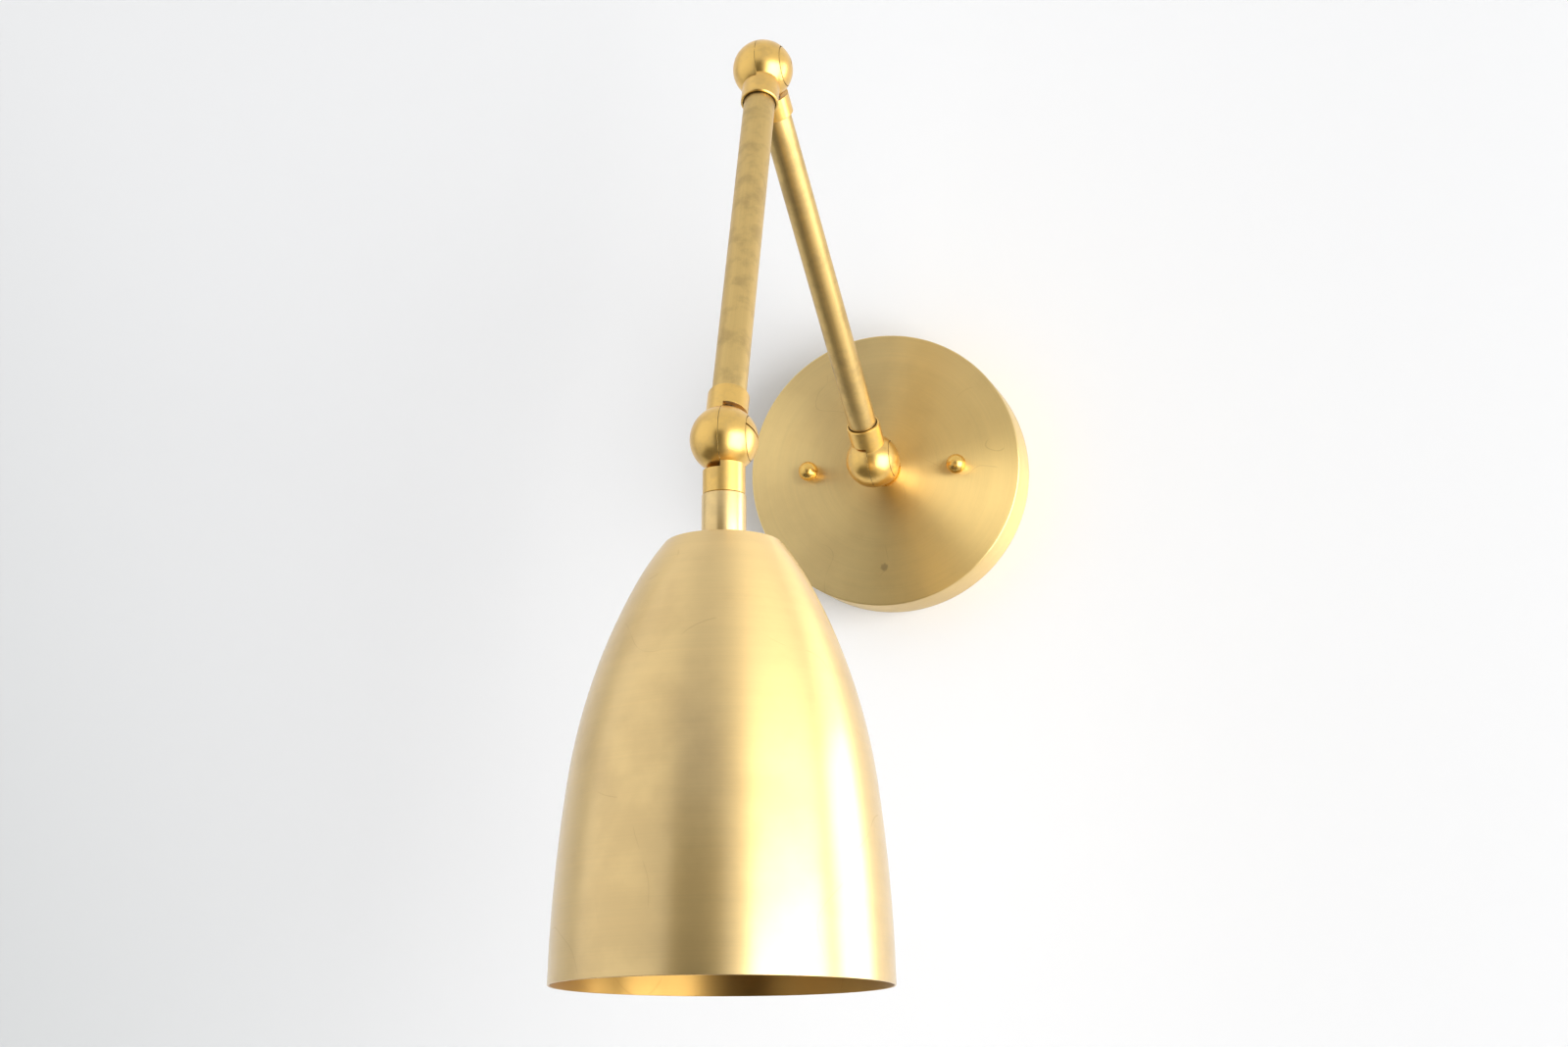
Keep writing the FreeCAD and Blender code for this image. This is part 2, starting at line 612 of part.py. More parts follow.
def pivot_screw(slot_turn):
    """Pivot screw along Z with a slotted head, domed flush with the ball."""
    head_r = size.pivot_head_diameter / 2
    shank_r = size.pivot_diameter / 2
    screw = turned([
        (0, -size.pivot_end),
        (shank_r, -size.pivot_end),
        (shank_r, size.pivot_head_underside),
        (head_r, size.pivot_head_underside),
        (head_r, root(BALL_R * BALL_R - head_r * head_r), BALL_R, 1),
        (0, BALL_R),
    ])
    slot = block((0, 0, 0), (size.pivot_head_diameter + 2, size.pivot_slot_width, size.ball_diameter))
    turn = FreeCAD.Rotation(FreeCAD.Vector(0, 0, 1), slot_turn.value)
    corner = FreeCAD.Vector(-head_r.value - 1, -size.pivot_slot_width.value / 2, size.pivot_slot_floor.value)
    slot.Placement = FreeCAD.Placement(turn.multVec(corner), turn)
    return cut(screw, slot)


def swivel(name, pivot, axis, fixed_direction, moving_place, slot_turn):
    """One whole swivel: the fixed half on the left, the moving half on the right, the pivot screw
    that holds them, a friction washer between them and a spring washer under the screw's head."""
    along_axis = frame(pivot, fixed_direction, axis)
    node(f"{name}_fixed_half", swivel_half(-1), frame(pivot, axis, fixed_direction))
    node(f"{name}_moving_half", swivel_half(1), moving_place)
    node(f"{name}_pivot_screw", pivot_screw(slot_turn), along_axis)
    friction_r = (size.friction_washer_outside / 2, size.friction_washer_inside / 2)
    node(f"{name}_friction_washer",
         ring(*friction_r, FRICTION_REAR, FRICTION_REAR + size.friction_washer_thickness), along_axis)
    spring_ends = (HEAD_SEAT + size.washer_clearance, size.pivot_head_underside - size.washer_clearance)
    node(f"{name}_spring_washer",
         ring(size.spring_washer_outside / 2, PIVOT_BORE_R, *spring_ends), along_axis)


swivel("wall_swivel", WALL_PIVOT, SWING_AXIS, -OUT, LOWER_ARM, size.wall_screw_turn)
swivel("elbow_swivel", ELBOW_PIVOT, SWING_AXIS, -LOWER_DIRECTION, UPPER_ARM, size.elbow_screw_turn)
swivel("shade_swivel", KNUCKLE_PIVOT, SHADE_SWING_AXIS, -UPPER_DIRECTION, SHADE_HEAD, size.shade_screw_turn)

# ---------------------------------------------------------------- arms

NIPPLE_REACH = MOUTH_FLOOR + size.nipple_in_tube

for arm, place in (("lower_arm", LOWER_ARM), ("upper_arm", UPPER_ARM)):
    far_end = size.arm_length - size.nipple_start
    tube_ends = (TUBE_START, size.arm_length - TUBE_START)
    node(f"{arm}_tube", ring(size.tube_diameter / 2, TUBE_BORE_R, *tube_ends), place)
    node(f"{arm}_near_nipple", nipple(size.nipple_start, NIPPLE_REACH), place)
    node(f"{arm}_far_nipple", nipple(size.arm_length - NIPPLE_REACH, far_end), place)
    node(f"{arm}_leads", leads(size.nipple_start, far_end), place)

# ---------------------------------------------------------------- shade


def shade_outline():
    """Outer and inner points of the shade's wall from its flat top to its rim. The outline is four
    arcs, each tangent to the next: corner, shoulder, side and skirt."""
    upper_height = (size.shade_corner_radius * (1 - sine(size.shoulder_angle))
                    + size.shoulder_radius * (sine(size.shoulder_angle) - sine(size.side_angle))
                    + size.side_radius * (sine(size.side_angle) - sine(size.skirt_angle)))
    skirt_radius = (size.shade_height - upper_height) / (sine(size.skirt_angle) - sine(size.rim_angle))
    stretches = [
        (size.shade_corner_radius, size.shoulder_angle, as_size(90)),
        (size.shoulder_radius, size.side_angle, size.shoulder_angle),
        (size.side_radius, size.skirt_angle, size.side_angle),
        (skirt_radius, size.rim_angle, size.skirt_angle),
    ]
    # From the rim up, so that the rim's diameter is exact and the flat top takes what is left.
    radius, height = size.shade_opening / 2, SHADE_TOP + size.shade_height
    outer = [(radius, height)]
    inner = [(radius - size.shade_wall * cosine(size.rim_angle), height)]
    for bend, low_angle, high_angle in reversed(stretches):
        radius = radius - bend * (cosine(low_angle) - cosine(high_angle))
        height = height - bend * (sine(high_angle) - sine(low_angle))
        outer[-1] += (bend, -1)
        outer.append((radius, height))
        offset_r = size.shade_wall * cosine(high_angle) if high_angle.value != 90 else as_size(0)
        inner.append((radius - offset_r, height + size.shade_wall * sine(high_angle)))
    inner_arcs = [(point[0], point[1], bend - size.shade_wall, 1)
                  for point, (bend, _, _) in zip(reversed(inner[1:]), stretches)]
    return outer, inner_arcs, inner[0]


def shade():
    """Spun shell: flat top with the nipple's hole, full shoulders and a nearly straight skirt."""
    outer, inner_arcs, inner_rim = shade_outline()
    hole = [(NIPPLE_HOLE_R, SHADE_TOP), (NIPPLE_HOLE_R, SHADE_CEILING)]
    return turned(outer + hole + inner_arcs + [inner_rim])


def lamp_holder_cap():
    """Cap of the lamp holder, with a hub that screws on the nipple."""
    cap_r = size.cap_diameter / 2
    hub_r = size.cap_hub_diameter / 2
    turned_cap = turned([
        (NIPPLE_HOLE_R, CAP_TOP),
        (hub_r, CAP_TOP),
        (hub_r, CAP_HUB_BASE),
        (cap_r, CAP_SHOULDER_BASE),
        (cap_r, CAP_RIM),
        (cap_r - size.cap_wall, CAP_RIM),
        (cap_r - size.cap_wall, CAP_SHOULDER_BASE + size.cap_wall),
        (hub_r, CAP_HUB_BASE + size.cap_wall),
        (NIPPLE_HOLE_R, CAP_HUB_BASE + size.cap_wall),
    ])
    hole_r = size.set_screw_diameter / 2 + size.thread_clearance
    hole = cylinder(hole_r, NIPPLE_R, size.cap_hub_diameter, axis="x")
    bind(hole, Placement__Base__z=CAP_TOP + size.cap_hub_height / 2)
    return cut(turned_cap, hole)


def set_screw():
    """Screw in the side of the cap's hub."""
    outer_end = size.cap_hub_diameter / 2 + size.set_screw_proud
    middle = CAP_TOP + size.cap_hub_height / 2
    width = size.set_screw_diameter
    groove = size.set_screw_slot
    screw = cylinder(width / 2, NIPPLE_R + size.set_screw_tip_clearance, outer_end, axis="x")
    bind(screw, Placement__Base__z=middle)
    slot = block((outer_end - groove, -width, middle - groove / 2), (width, 2 * width, groove))
    return cut(screw, slot)


def lamp_holder_body():
    """Insulating body: a thick floor with a cup for the screw shell."""
    outer_r = size.cap_diameter / 2
    spigot_r = size.cap_diameter / 2 - size.cap_wall - size.holder_spigot_clearance
    mouth = HOLDER_TOP + size.holder_length
    edge = size.screw_shell_wall
    body = turned([
        (size.contact_stem_diameter / 2 + size.thread_clearance, HOLDER_TOP),
        (spigot_r, HOLDER_TOP),
        (spigot_r, CAP_RIM),
        (outer_r, CAP_RIM),
        (outer_r, mouth - edge, edge, 1),
        (outer_r - edge, mouth),
        (SHELL_SEAT_R, mouth),
        (SHELL_SEAT_R, HOLDER_CUP_FLOOR),
        (size.contact_stem_diameter / 2 + size.thread_clearance, HOLDER_CUP_FLOOR),
    ])
    hole_r = size.terminal_diameter / 2 + size.thread_clearance
    depth = size.terminal_depth + size.thread_clearance
    holes = [cylinder(hole_r, HOLDER_TOP - 1, HOLDER_TOP + depth, x=side * size.terminal_offset)
             for side in (-1, 1)]
    return cut(body, *holes)


def screw_shell():
    """Thin metal cup that a lamp screws into; its corner keeps the thread clear of the contact."""
    corner = size.screw_shell_corner
    outer_corner = corner + size.screw_shell_wall
    bore_r = size.screw_shell_bore / 2
    floor = HOLDER_CUP_FLOOR + size.screw_shell_wall
    return turned([
        (size.screw_shell_floor_hole / 2, HOLDER_CUP_FLOOR),
        (SHELL_R - outer_corner, HOLDER_CUP_FLOOR, outer_corner, 1),
        (SHELL_R, HOLDER_CUP_FLOOR + outer_corner),
        (SHELL_R, HOLDER_CUP_FLOOR + size.screw_shell_length),
        (bore_r, HOLDER_CUP_FLOOR + size.screw_shell_length),
        (bore_r, floor + corner, corner, -1),
        (bore_r - corner, floor),
        (size.screw_shell_floor_hole / 2, floor),
    ])


def centre_contact():
    """Riveted button contact in the middle of the holder's floor."""
    rise = size.contact_height - size.contact_edge_height
    button_r = size.contact_diameter / 2
    dome_r = (button_r * button_r + rise * rise) / (2 * rise)
    return turned([
        (0, HOLDER_TOP - size.screw_shell_wall),
        (size.contact_stem_diameter / 2, HOLDER_TOP - size.screw_shell_wall),
        (size.contact_stem_diameter / 2, HOLDER_CUP_FLOOR),
        (button_r, HOLDER_CUP_FLOOR),
        (button_r, HOLDER_CUP_FLOOR + size.contact_edge_height, dome_r, 1),
        (0, HOLDER_CUP_FLOOR + size.contact_height),
    ])


def terminal_screws():
    """Two terminal screws on the back of the holder's body."""
    screws = []
    for side in (-1, 1):
        middle = side * size.terminal_offset
        head_top = HOLDER_TOP - size.terminal_head_thickness
        head = cylinder(size.terminal_head_diameter / 2, head_top, HOLDER_TOP, x=middle)
        shank = cylinder(size.terminal_diameter / 2, head_top, HOLDER_TOP + size.terminal_depth, x=middle)
        screws.append(fuse(head, shank))
    return fuse(*screws)


node("shade_coupling",
     ring(size.coupling_diameter / 2, NIPPLE_HOLE_R, size.collar_end, SHADE_TOP), SHADE_HEAD)
node("shade_nipple", nipple(size.nipple_start, CAP_HUB_BASE), SHADE_HEAD)
node("shade", shade(), SHADE_HEAD)
node("shade_washer",
     ring(size.shade_washer_diameter / 2, NIPPLE_HOLE_R, SHADE_CEILING, SHADE_NUT_TOP), SHADE_HEAD)
node("shade_lock_nut", lock_nut(SHADE_NUT_TOP, size.locknut_thickness), SHADE_HEAD)
node("lamp_holder_cap", lamp_holder_cap(), SHADE_HEAD)
node("lamp_holder_set_screw", set_screw(), SHADE_HEAD)
node("lamp_holder_body", lamp_holder_body(), SHADE_HEAD)
node("lamp_holder_screw_shell", screw_shell(), SHADE_HEAD)
node("lamp_holder_centre_contact", centre_contact(), SHADE_HEAD)
node("lamp_holder_terminal_screws", terminal_screws(), SHADE_HEAD)
node("lamp_holder_leads", leads(size.nipple_start, CAP_HUB_BASE), SHADE_HEAD)

# ---------------------------------------------------------------- check and write

DOCUMENT.recompute()

for thing in DOCUMENT.Objects:
    if "Invalid" in thing.State or "Error" in thing.State:
        raise RuntimeError(f"{thing.Name} ({thing.Label}) did not compute: {thing.State}")
for thing in NODES:
    if thing.Shape.isNull() or not thing.Shape.isValid() or thing.Shape.Volume <= 0:
        raise RuntimeError(f"{thing.Label} has no valid solid")

os.makedirs("parts", exist_ok=True)
for thing in NODES:
    thing.Shape.exportStep(f"parts/{thing.Label}.step")
    print(f"{thing.Label}: {len(thing.Shape.Solids)} solid(s), {thing.Shape.Volume:.1f} mm3")
landmarks = {
    "wall pivot": WALL_PIVOT, "elbow pivot": ELBOW_PIVOT, "shade pivot": KNUCKLE_PIVOT,
    "swing axis": SWING_AXIS, "shade's swing axis": SHADE_SWING_AXIS, "shade's direction": SHADE_DIRECTION,
}
for title, point in landmarks.items():
    print(f"{title}: {point.x:.6f} {point.y:.6f} {point.z:.6f}")
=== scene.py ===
import json
import logging
import math
from collections.abc import Callable
from dataclasses import dataclass
from enum import Enum

import bpy
from mathutils import Matrix, Vector


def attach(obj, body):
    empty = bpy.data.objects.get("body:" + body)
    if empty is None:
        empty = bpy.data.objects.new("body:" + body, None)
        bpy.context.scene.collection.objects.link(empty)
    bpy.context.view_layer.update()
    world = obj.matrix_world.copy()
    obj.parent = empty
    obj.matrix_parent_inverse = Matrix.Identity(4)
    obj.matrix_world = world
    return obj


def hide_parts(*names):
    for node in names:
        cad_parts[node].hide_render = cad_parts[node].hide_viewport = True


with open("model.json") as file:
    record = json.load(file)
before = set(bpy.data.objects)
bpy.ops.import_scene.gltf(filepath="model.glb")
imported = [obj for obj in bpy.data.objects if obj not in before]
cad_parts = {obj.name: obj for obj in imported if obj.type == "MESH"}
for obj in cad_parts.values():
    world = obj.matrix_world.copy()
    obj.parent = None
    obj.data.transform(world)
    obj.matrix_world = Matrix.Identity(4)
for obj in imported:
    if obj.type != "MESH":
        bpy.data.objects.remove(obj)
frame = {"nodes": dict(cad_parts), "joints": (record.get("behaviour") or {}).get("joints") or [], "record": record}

LOG = logging.getLogger("sconce")
MM = 0.001

Colour = tuple[float, float, float]
Point = tuple[float, float, float]
Band = tuple[float, float]


# ---------------- shader expressions


class Wire:
    """A value that runs between shader nodes, with Python's own operators."""

    def __init__(self, graph: "Graph", socket: bpy.types.NodeSocket) -> None:
        """Hold a socket.

        Args:
            graph: The graph that the socket belongs to.
            socket: An output socket.
        """
        self.graph = graph
        self.socket = socket

    def _maths(self, operation: str, first: "Wire | float", second: "Wire | float" = 0.0) -> "Wire":
        """Add one Math node.

        Args:
            operation: The Math node's operation.
            first: First operand.
            second: Second operand.

        Returns:
            The node's result.
        """
        return self.graph.node("ShaderNodeMath", {"operation": operation}, {0: first, 1: second})

    def __add__(self, other: "Wire | float") -> "Wire":
        """Sum."""
        return self._maths("ADD", self, other)

    def __radd__(self, other: float) -> "Wire":
        """Sum, with the number first."""
        return self._maths("ADD", other, self)

    def __sub__(self, other: "Wire | float") -> "Wire":
        """Difference."""
        return self._maths("SUBTRACT", self, other)

    def __rsub__(self, other: float) -> "Wire":
        """Difference, with the number first."""
        return self._maths("SUBTRACT", other, self)

    def __mul__(self, other: "Wire | float") -> "Wire":
        """Product."""
        return self._maths("MULTIPLY", self, other)

    def __rmul__(self, other: float) -> "Wire":
        """Product, with the number first."""
        return self._maths("MULTIPLY", other, self)

    def __abs__(self) -> "Wire":
        """Distance from zero."""
        return self._maths("ABSOLUTE", self)

    def sine(self) -> "Wire":
        """Sine of the value in radians."""
        return self._maths("SINE", self)

    def band(self, low: float, high: float) -> "Wire":
        """Smooth step.

        Args:
            low: Where the result is 0.
            high: Where the result is 1; it may be lower than low.

        Returns:
            0 to 1.
        """
        settings = {"interpolation_type": "SMOOTHSTEP"}
        return self.graph.node("ShaderNodeMapRange", settings, {0: self, 1: low, 2: high, 3: 0.0, 4: 1.0})


class Graph:
    """The node tree of one material or world."""

    def __init__(self, tree: bpy.types.NodeTree) -> None:
        """Start with an empty tree.

        Args:
            tree: The tree to fill.
        """
        self.tree = tree
        self.tree.nodes.clear()

    def node(self, kind: str, settings: dict | None = None, sockets: dict | None = None,
             output: int | str = 0) -> Wire | None:
        """Add a node of any kind.

        Args:
            kind: The node's type.
            settings: Its properties, which are set first.
            sockets: Value, Wire or colour for each input, by index or name.
            output: The output to return.

        Returns:
            The chosen output, or None where the node has none.
        """
        made = self.tree.nodes.new(kind)
        for name, value in (settings or {}).items():
            setattr(made, name, value)
        for key, value in (sockets or {}).items():
            socket = made.inputs[key]
            if isinstance(value, Wire):
                self.tree.links.new(value.socket, socket)
            elif isinstance(value, tuple) and socket.type == "RGBA":
                socket.default_value = (*value, 1.0)
            else:
                socket.default_value = value
        return Wire(self, made.outputs[output]) if made.outputs else None

    def blend(self, factor: Wire | float, first: Wire | Colour, second: Wire | Colour) -> Wire:
        """Mix two colours.

        Args:
            factor: 0 gives the first, 1 the second.
            first: A colour.
            second: Another colour.

        Returns:
            The mixed colour.
        """
        return self.node("ShaderNodeMix", {"data_type": "RGBA"}, {0: factor, 6: first, 7: second}, 2)

    def shade_of(self, colour: Wire | Colour, brightness: Wire) -> Wire:
        """Scale a colour by a value.

        Args:
            colour: The colour.
            brightness: The factor of all three channels.

        Returns:
            The scaled colour.
        """
        grey = self.node("ShaderNodeCombineXYZ", None, {0: brightness, 1: brightness, 2: brightness})
        return self.node("ShaderNodeMix", {"data_type": "RGBA", "blend_type": "MULTIPLY"},
                         {0: 1.0, 6: colour, 7: grey}, 2)

    def vector(self, operation: str, first: Wire | Vector, second: Wire | Vector | None = None,
               scale: float | Wire | None = None) -> Wire:
        """Add one Vector Math node.

        Args:
            operation: The node's operation.
            first: First vector.
            second: Second vector, where the operation has one.
            scale: Factor of the SCALE operation.

        Returns:
            The vector, or the value of LENGTH and DOT_PRODUCT.
        """
        sockets = {0: first}
        if second is not None:
            sockets[1] = second
        if scale is not None:
            sockets["Scale"] = scale
        output = 1 if operation in ("LENGTH", "DOT_PRODUCT") else 0
        return self.node("ShaderNodeVectorMath", {"operation": operation}, sockets, output)

    def noise(self, place: Wire, scale: float, detail: float = 2.0, roughness: float = 0.5) -> Wire:
        """Noise from 0 to 1.

        Args:
            place: Where, in millimetres.
            scale: Waves per millimetre.
            detail: Octaves.
            roughness: Weight of the finer octaves.

        Returns:
            The noise's value.
        """
        return self.node("ShaderNodeTexNoise", None,
                         {"Vector": place, "Scale": scale, "Detail": detail, "Roughness": roughness})

    def millimetres(self) -> Wire:
        """The object's own coordinates, in millimetres."""
        place = self.node("ShaderNodeTexCoord", None, None, "Object")
        return self.vector("SCALE", place, scale=1.0 / MM)

    def part_of(self, vector: Wire, axis: int) -> Wire:
        """One component of a vector."""
        return self.node("ShaderNodeSeparateXYZ", None, {0: vector}, axis)

    def surface(self, shader: Wire) -> None:
        """End a material in a shader."""
        self.node("ShaderNodeOutputMaterial", None, {"Surface": shader})


def new_material(name: str) -> tuple[bpy.types.Material, Graph]:
    """Start a material.

    Args:
        name: Its name.

    Returns:
        The material and its empty graph.
    """
    made = bpy.data.materials.new(name)
    made.use_nodes = True
    return made, Graph(made.node_tree)


# ---------------- finishes

FLAT = Vector((1.0, 1.0, 0.0))  # keeps a place's distance from the Z axis
CLOUDED_STRETCH = Vector((0.35, 0.35, 1.0))  # slight lie of hand polishing
ALONG_STRETCH = 0.012  # how slowly lengthwise brushing changes along itself
COARSE_RATIO = 14.0  # width of a coarse brushing line, in fine ones
COARSE_TONE = 0.9  # tone of the coarse lines, in that of the fine ones
COARSE_RELIEF = 0.6  # height of the coarse lines, in that of the fine ones
DULL_BAND = (0.42, 0.68)  # noise from clean to fully dulled
HAIR_SCALE = 0.45  # waves of the scratches' field per dulled place
HAIR_WIDTH = (0.0016, 0.0003)  # distance from the field's middle, from bare to scratched
HAIR_PATCHES = 0.09  # waves of the scratched patches per millimetre
HAIR_BAND = (0.5, 0.6)  # noise from unscratched to scratched patches
SPOT_RAGGED = 0.9  # waves of a spot's ragged edge per millimetre
SPOT_CORE = 0.4  # full part of a spot's radius
SPOT_WEIGHT = 0.7  # share of the tarnish colour in a spot
SEAM_DIRT_AND_SHADE: Colour = (0.03, 0.018, 0.006)  # colour of the dirt and painted shade in seams
SEAM_SHADE_BAND = (0.62, 0.3)  # openness from clean and unshaded to fully dirty and shaded
SIDE_BAND = (0.5, -0.5)  # outward slope from the outer side to the inner one
FINE_GLOSS, DULL_GLOSS, HAIR_GLOSS = 0.10, 0.05, 0.1  # how far each changes the roughness
GRAIN_TURN = 0.25  # turn of the gloss's grain where the brushing runs round the axis
LINE_RELIEF = {"Strength": 0.10, "Distance": 0.02 * MM}
POLISH = {"Coat Roughness": 0.22, "Coat IOR": 2.0}


class Grain(Enum):
    """How a metal surface was brushed."""

    ROUND = "round the piece's own Z axis"
    ALONG = "along the piece's own Z axis"
    CLOUDED = "by hand, with no direction"


@dataclass(frozen=True)
class Brass:
    """Brushed and slightly dulled brass.

    Attributes:
        tone: Reflected colour of the clean metal.
        tarnish: Colour of the dulled places.
        roughness: Mean roughness.
        anisotropy: Strength of the grain in the gloss.
        grain: Direction of the brushing.
        line_density: Brushing lines per millimetre.
        line_depth: How strongly the lines change the tone.
        dulling: Share of the tarnish in the dulled places.
        cloud: Size of the dulled places, in millimetres.
        hairlines: Strength of the fine stray scratches.
        soft_edge: Radius to which edges are worn, in millimetres.
        dark_spots: Round darker spots as (x, y, z, radius), in millimetres in the piece's own frame.
        shaded_inside: Darker colour of the side that faces the piece's own Z axis, painted shade in the hollow.
        coat: Weight of the clear gloss that polishing leaves.
        seam_dirt_and_shade: Reach of the dark dirt and painted shade in seams and gaps, in millimetres.
    """

    tone: Colour
    tarnish: Colour
    roughness: float = 0.36
    anisotropy: float = 0.0
    grain: Grain = Grain.CLOUDED
    line_density: float = 1.6
    line_depth: float = 0.10
    dulling: float = 0.25
    cloud: float = 26.0
    hairlines: float = 0.3
    soft_edge: float = 0.0
    dark_spots: tuple[tuple[float, float, float, float], ...] = ()
    shaded_inside: Colour | None = None
    coat: float = 0.0
    seam_dirt_and_shade: float = 0.0

    def _grain_place(self, graph: Graph, place: Wire) -> Wire:
        """Coordinates that run fast across the brushing and slowly along it."""
        if self.grain is Grain.CLOUDED:
            return graph.vector("MULTIPLY", place, CLOUDED_STRETCH)
        flat = graph.vector("MULTIPLY", place, FLAT)
        height = graph.part_of(place, 2)
        if self.grain is Grain.ALONG:
            rise = graph.node("ShaderNodeCombineXYZ", None, {2: height * ALONG_STRETCH})
            return graph.vector("ADD", flat, rise)
        across = height + graph.vector("LENGTH", flat)
        rise = graph.node("ShaderNodeCombineXYZ", None, {2: across})
        return graph.vector("ADD", graph.vector("NORMALIZE", flat), rise)

    def _scratches(self, graph: Graph, place: Wire) -> Wire:
        """Mask of the fine stray scratches."""
        field = graph.noise(place, HAIR_SCALE / self.cloud, detail=1.5, roughness=0.4)
        patches = graph.noise(place, HAIR_PATCHES, detail=0.0).band(*HAIR_BAND)
        return abs(field - 0.5).band(*HAIR_WIDTH) * patches

    def _with_dark_spots(self, graph: Graph, place: Wire, colour: Wire) -> Wire:
        """The colour with the round darker spots on it."""
        for x, y, z, radius in self.dark_spots:
            near = graph.vector("LENGTH", graph.vector("SUBTRACT", place, Vector((x, y, z))))
            ragged = near + (graph.noise(place, SPOT_RAGGED) - 0.5) * radius
            mask = ragged.band(radius, radius * SPOT_CORE) * SPOT_WEIGHT
            colour = graph.blend(mask, colour, self.tarnish)
        return colour

    def _add_seam_dirt_and_shade(self, graph: Graph, colour: Wire) -> Wire:
        """The colour with dirt and painted shade in the seams and gaps, darker where the surface is closed in."""
        if not self.seam_dirt_and_shade:
            return colour
        # ambient occlusion paints a darker colour into closed-in seams: dirt and painted shade
        openness = graph.node("ShaderNodeAmbientOcclusion", {"samples": 8},
                              {"Distance": self.seam_dirt_and_shade * MM}, "AO")
        return graph.blend(openness.band(*SEAM_SHADE_BAND), colour, SEAM_DIRT_AND_SHADE)

    def _inner_side(self, graph: Graph, place: Wire) -> Wire:
        """Mask of the side that faces the piece's own Z axis."""
        facing = graph.node("ShaderNodeTexCoord", None, None, "Normal")
        outward = graph.vector("MULTIPLY", place, FLAT)
        return graph.vector("DOT_PRODUCT", facing, outward).band(*SIDE_BAND)

    def _normal(self, graph: Graph, height: Wire) -> Wire:
        """Normal of the brushing lines, over worn edges where the finish has them."""
        relief = {"Height": height, **LINE_RELIEF}
        if self.soft_edge:
            relief["Normal"] = graph.node("ShaderNodeBevel", {"samples": 6}, {"Radius": self.soft_edge * MM})
        return graph.node("ShaderNodeBump", None, relief)

    def material(self, name: str) -> bpy.types.Material:
        """Build the finish.

        Args:
            name: Name of the material.

        Returns:
            A material.
        """
        made, graph = new_material(name)
        place = graph.millimetres()
        brushed = self._grain_place(graph, place)
        fine = graph.noise(brushed, self.line_density, detail=3.0, roughness=0.65)
        coarse = graph.noise(brushed, self.line_density / COARSE_RATIO)
        dull = graph.noise(place, 1.0 / self.cloud, detail=4.0, roughness=0.6).band(*DULL_BAND)
        hair = self._scratches(graph, place)
        colour = graph.blend(dull * self.dulling, self.tone, self.tarnish)
        colour = graph.blend(hair * self.hairlines, colour, self.tarnish)
        colour = self._add_seam_dirt_and_shade(graph, self._with_dark_spots(graph, place, colour))
        gloss = self.coat
        # the side inside the hollow takes a darker colour, painted shade, and no coat
        if self.shaded_inside:
            inner = self._inner_side(graph, place)
            colour = graph.blend(inner, colour, self.shaded_inside)
            gloss = (1.0 - inner) * self.coat
        lines = (fine - 0.5) * self.line_depth + (coarse - 0.5) * (self.line_depth * COARSE_TONE)
        rough = (fine - 0.5) * FINE_GLOSS + dull * DULL_GLOSS + hair * HAIR_GLOSS + self.roughness
        graph.surface(graph.node("ShaderNodeBsdfPrincipled", None, {
            "Base Color": graph.shade_of(colour, lines + 1.0), "Metallic": 1.0, "Roughness": rough,
            "Normal": self._normal(graph, fine + coarse * COARSE_RELIEF),
            "Anisotropic": self.anisotropy,
            "Anisotropic Rotation": GRAIN_TURN if self.grain is Grain.ROUND else 0.0,
            "Coat Weight": gloss, **POLISH}))
        return made


SPECKLE_SCALE = 3.0  # waves of the fine unevenness per millimetre
SPECKLE_TONE = 0.12  # how far it changes the tone
SPECKLE_GLOSS = 0.15  # how far it changes the roughness
SPECKLE_RELIEF = 0.2  # its height beside a thread's
CLOUD_BAND = (0.35, 0.7)  # noise from the first colour to the second
CLOUD_GLOSS = 0.08  # how far the clouds change the roughness
THREAD_RELIEF = 3.0  # height of a thread
PLAIN_RELIEF = {"Strength": 0.4, "Distance": 0.05 * MM}
SPLIT_EDGE = 0.01  # half the width of a split between two colours


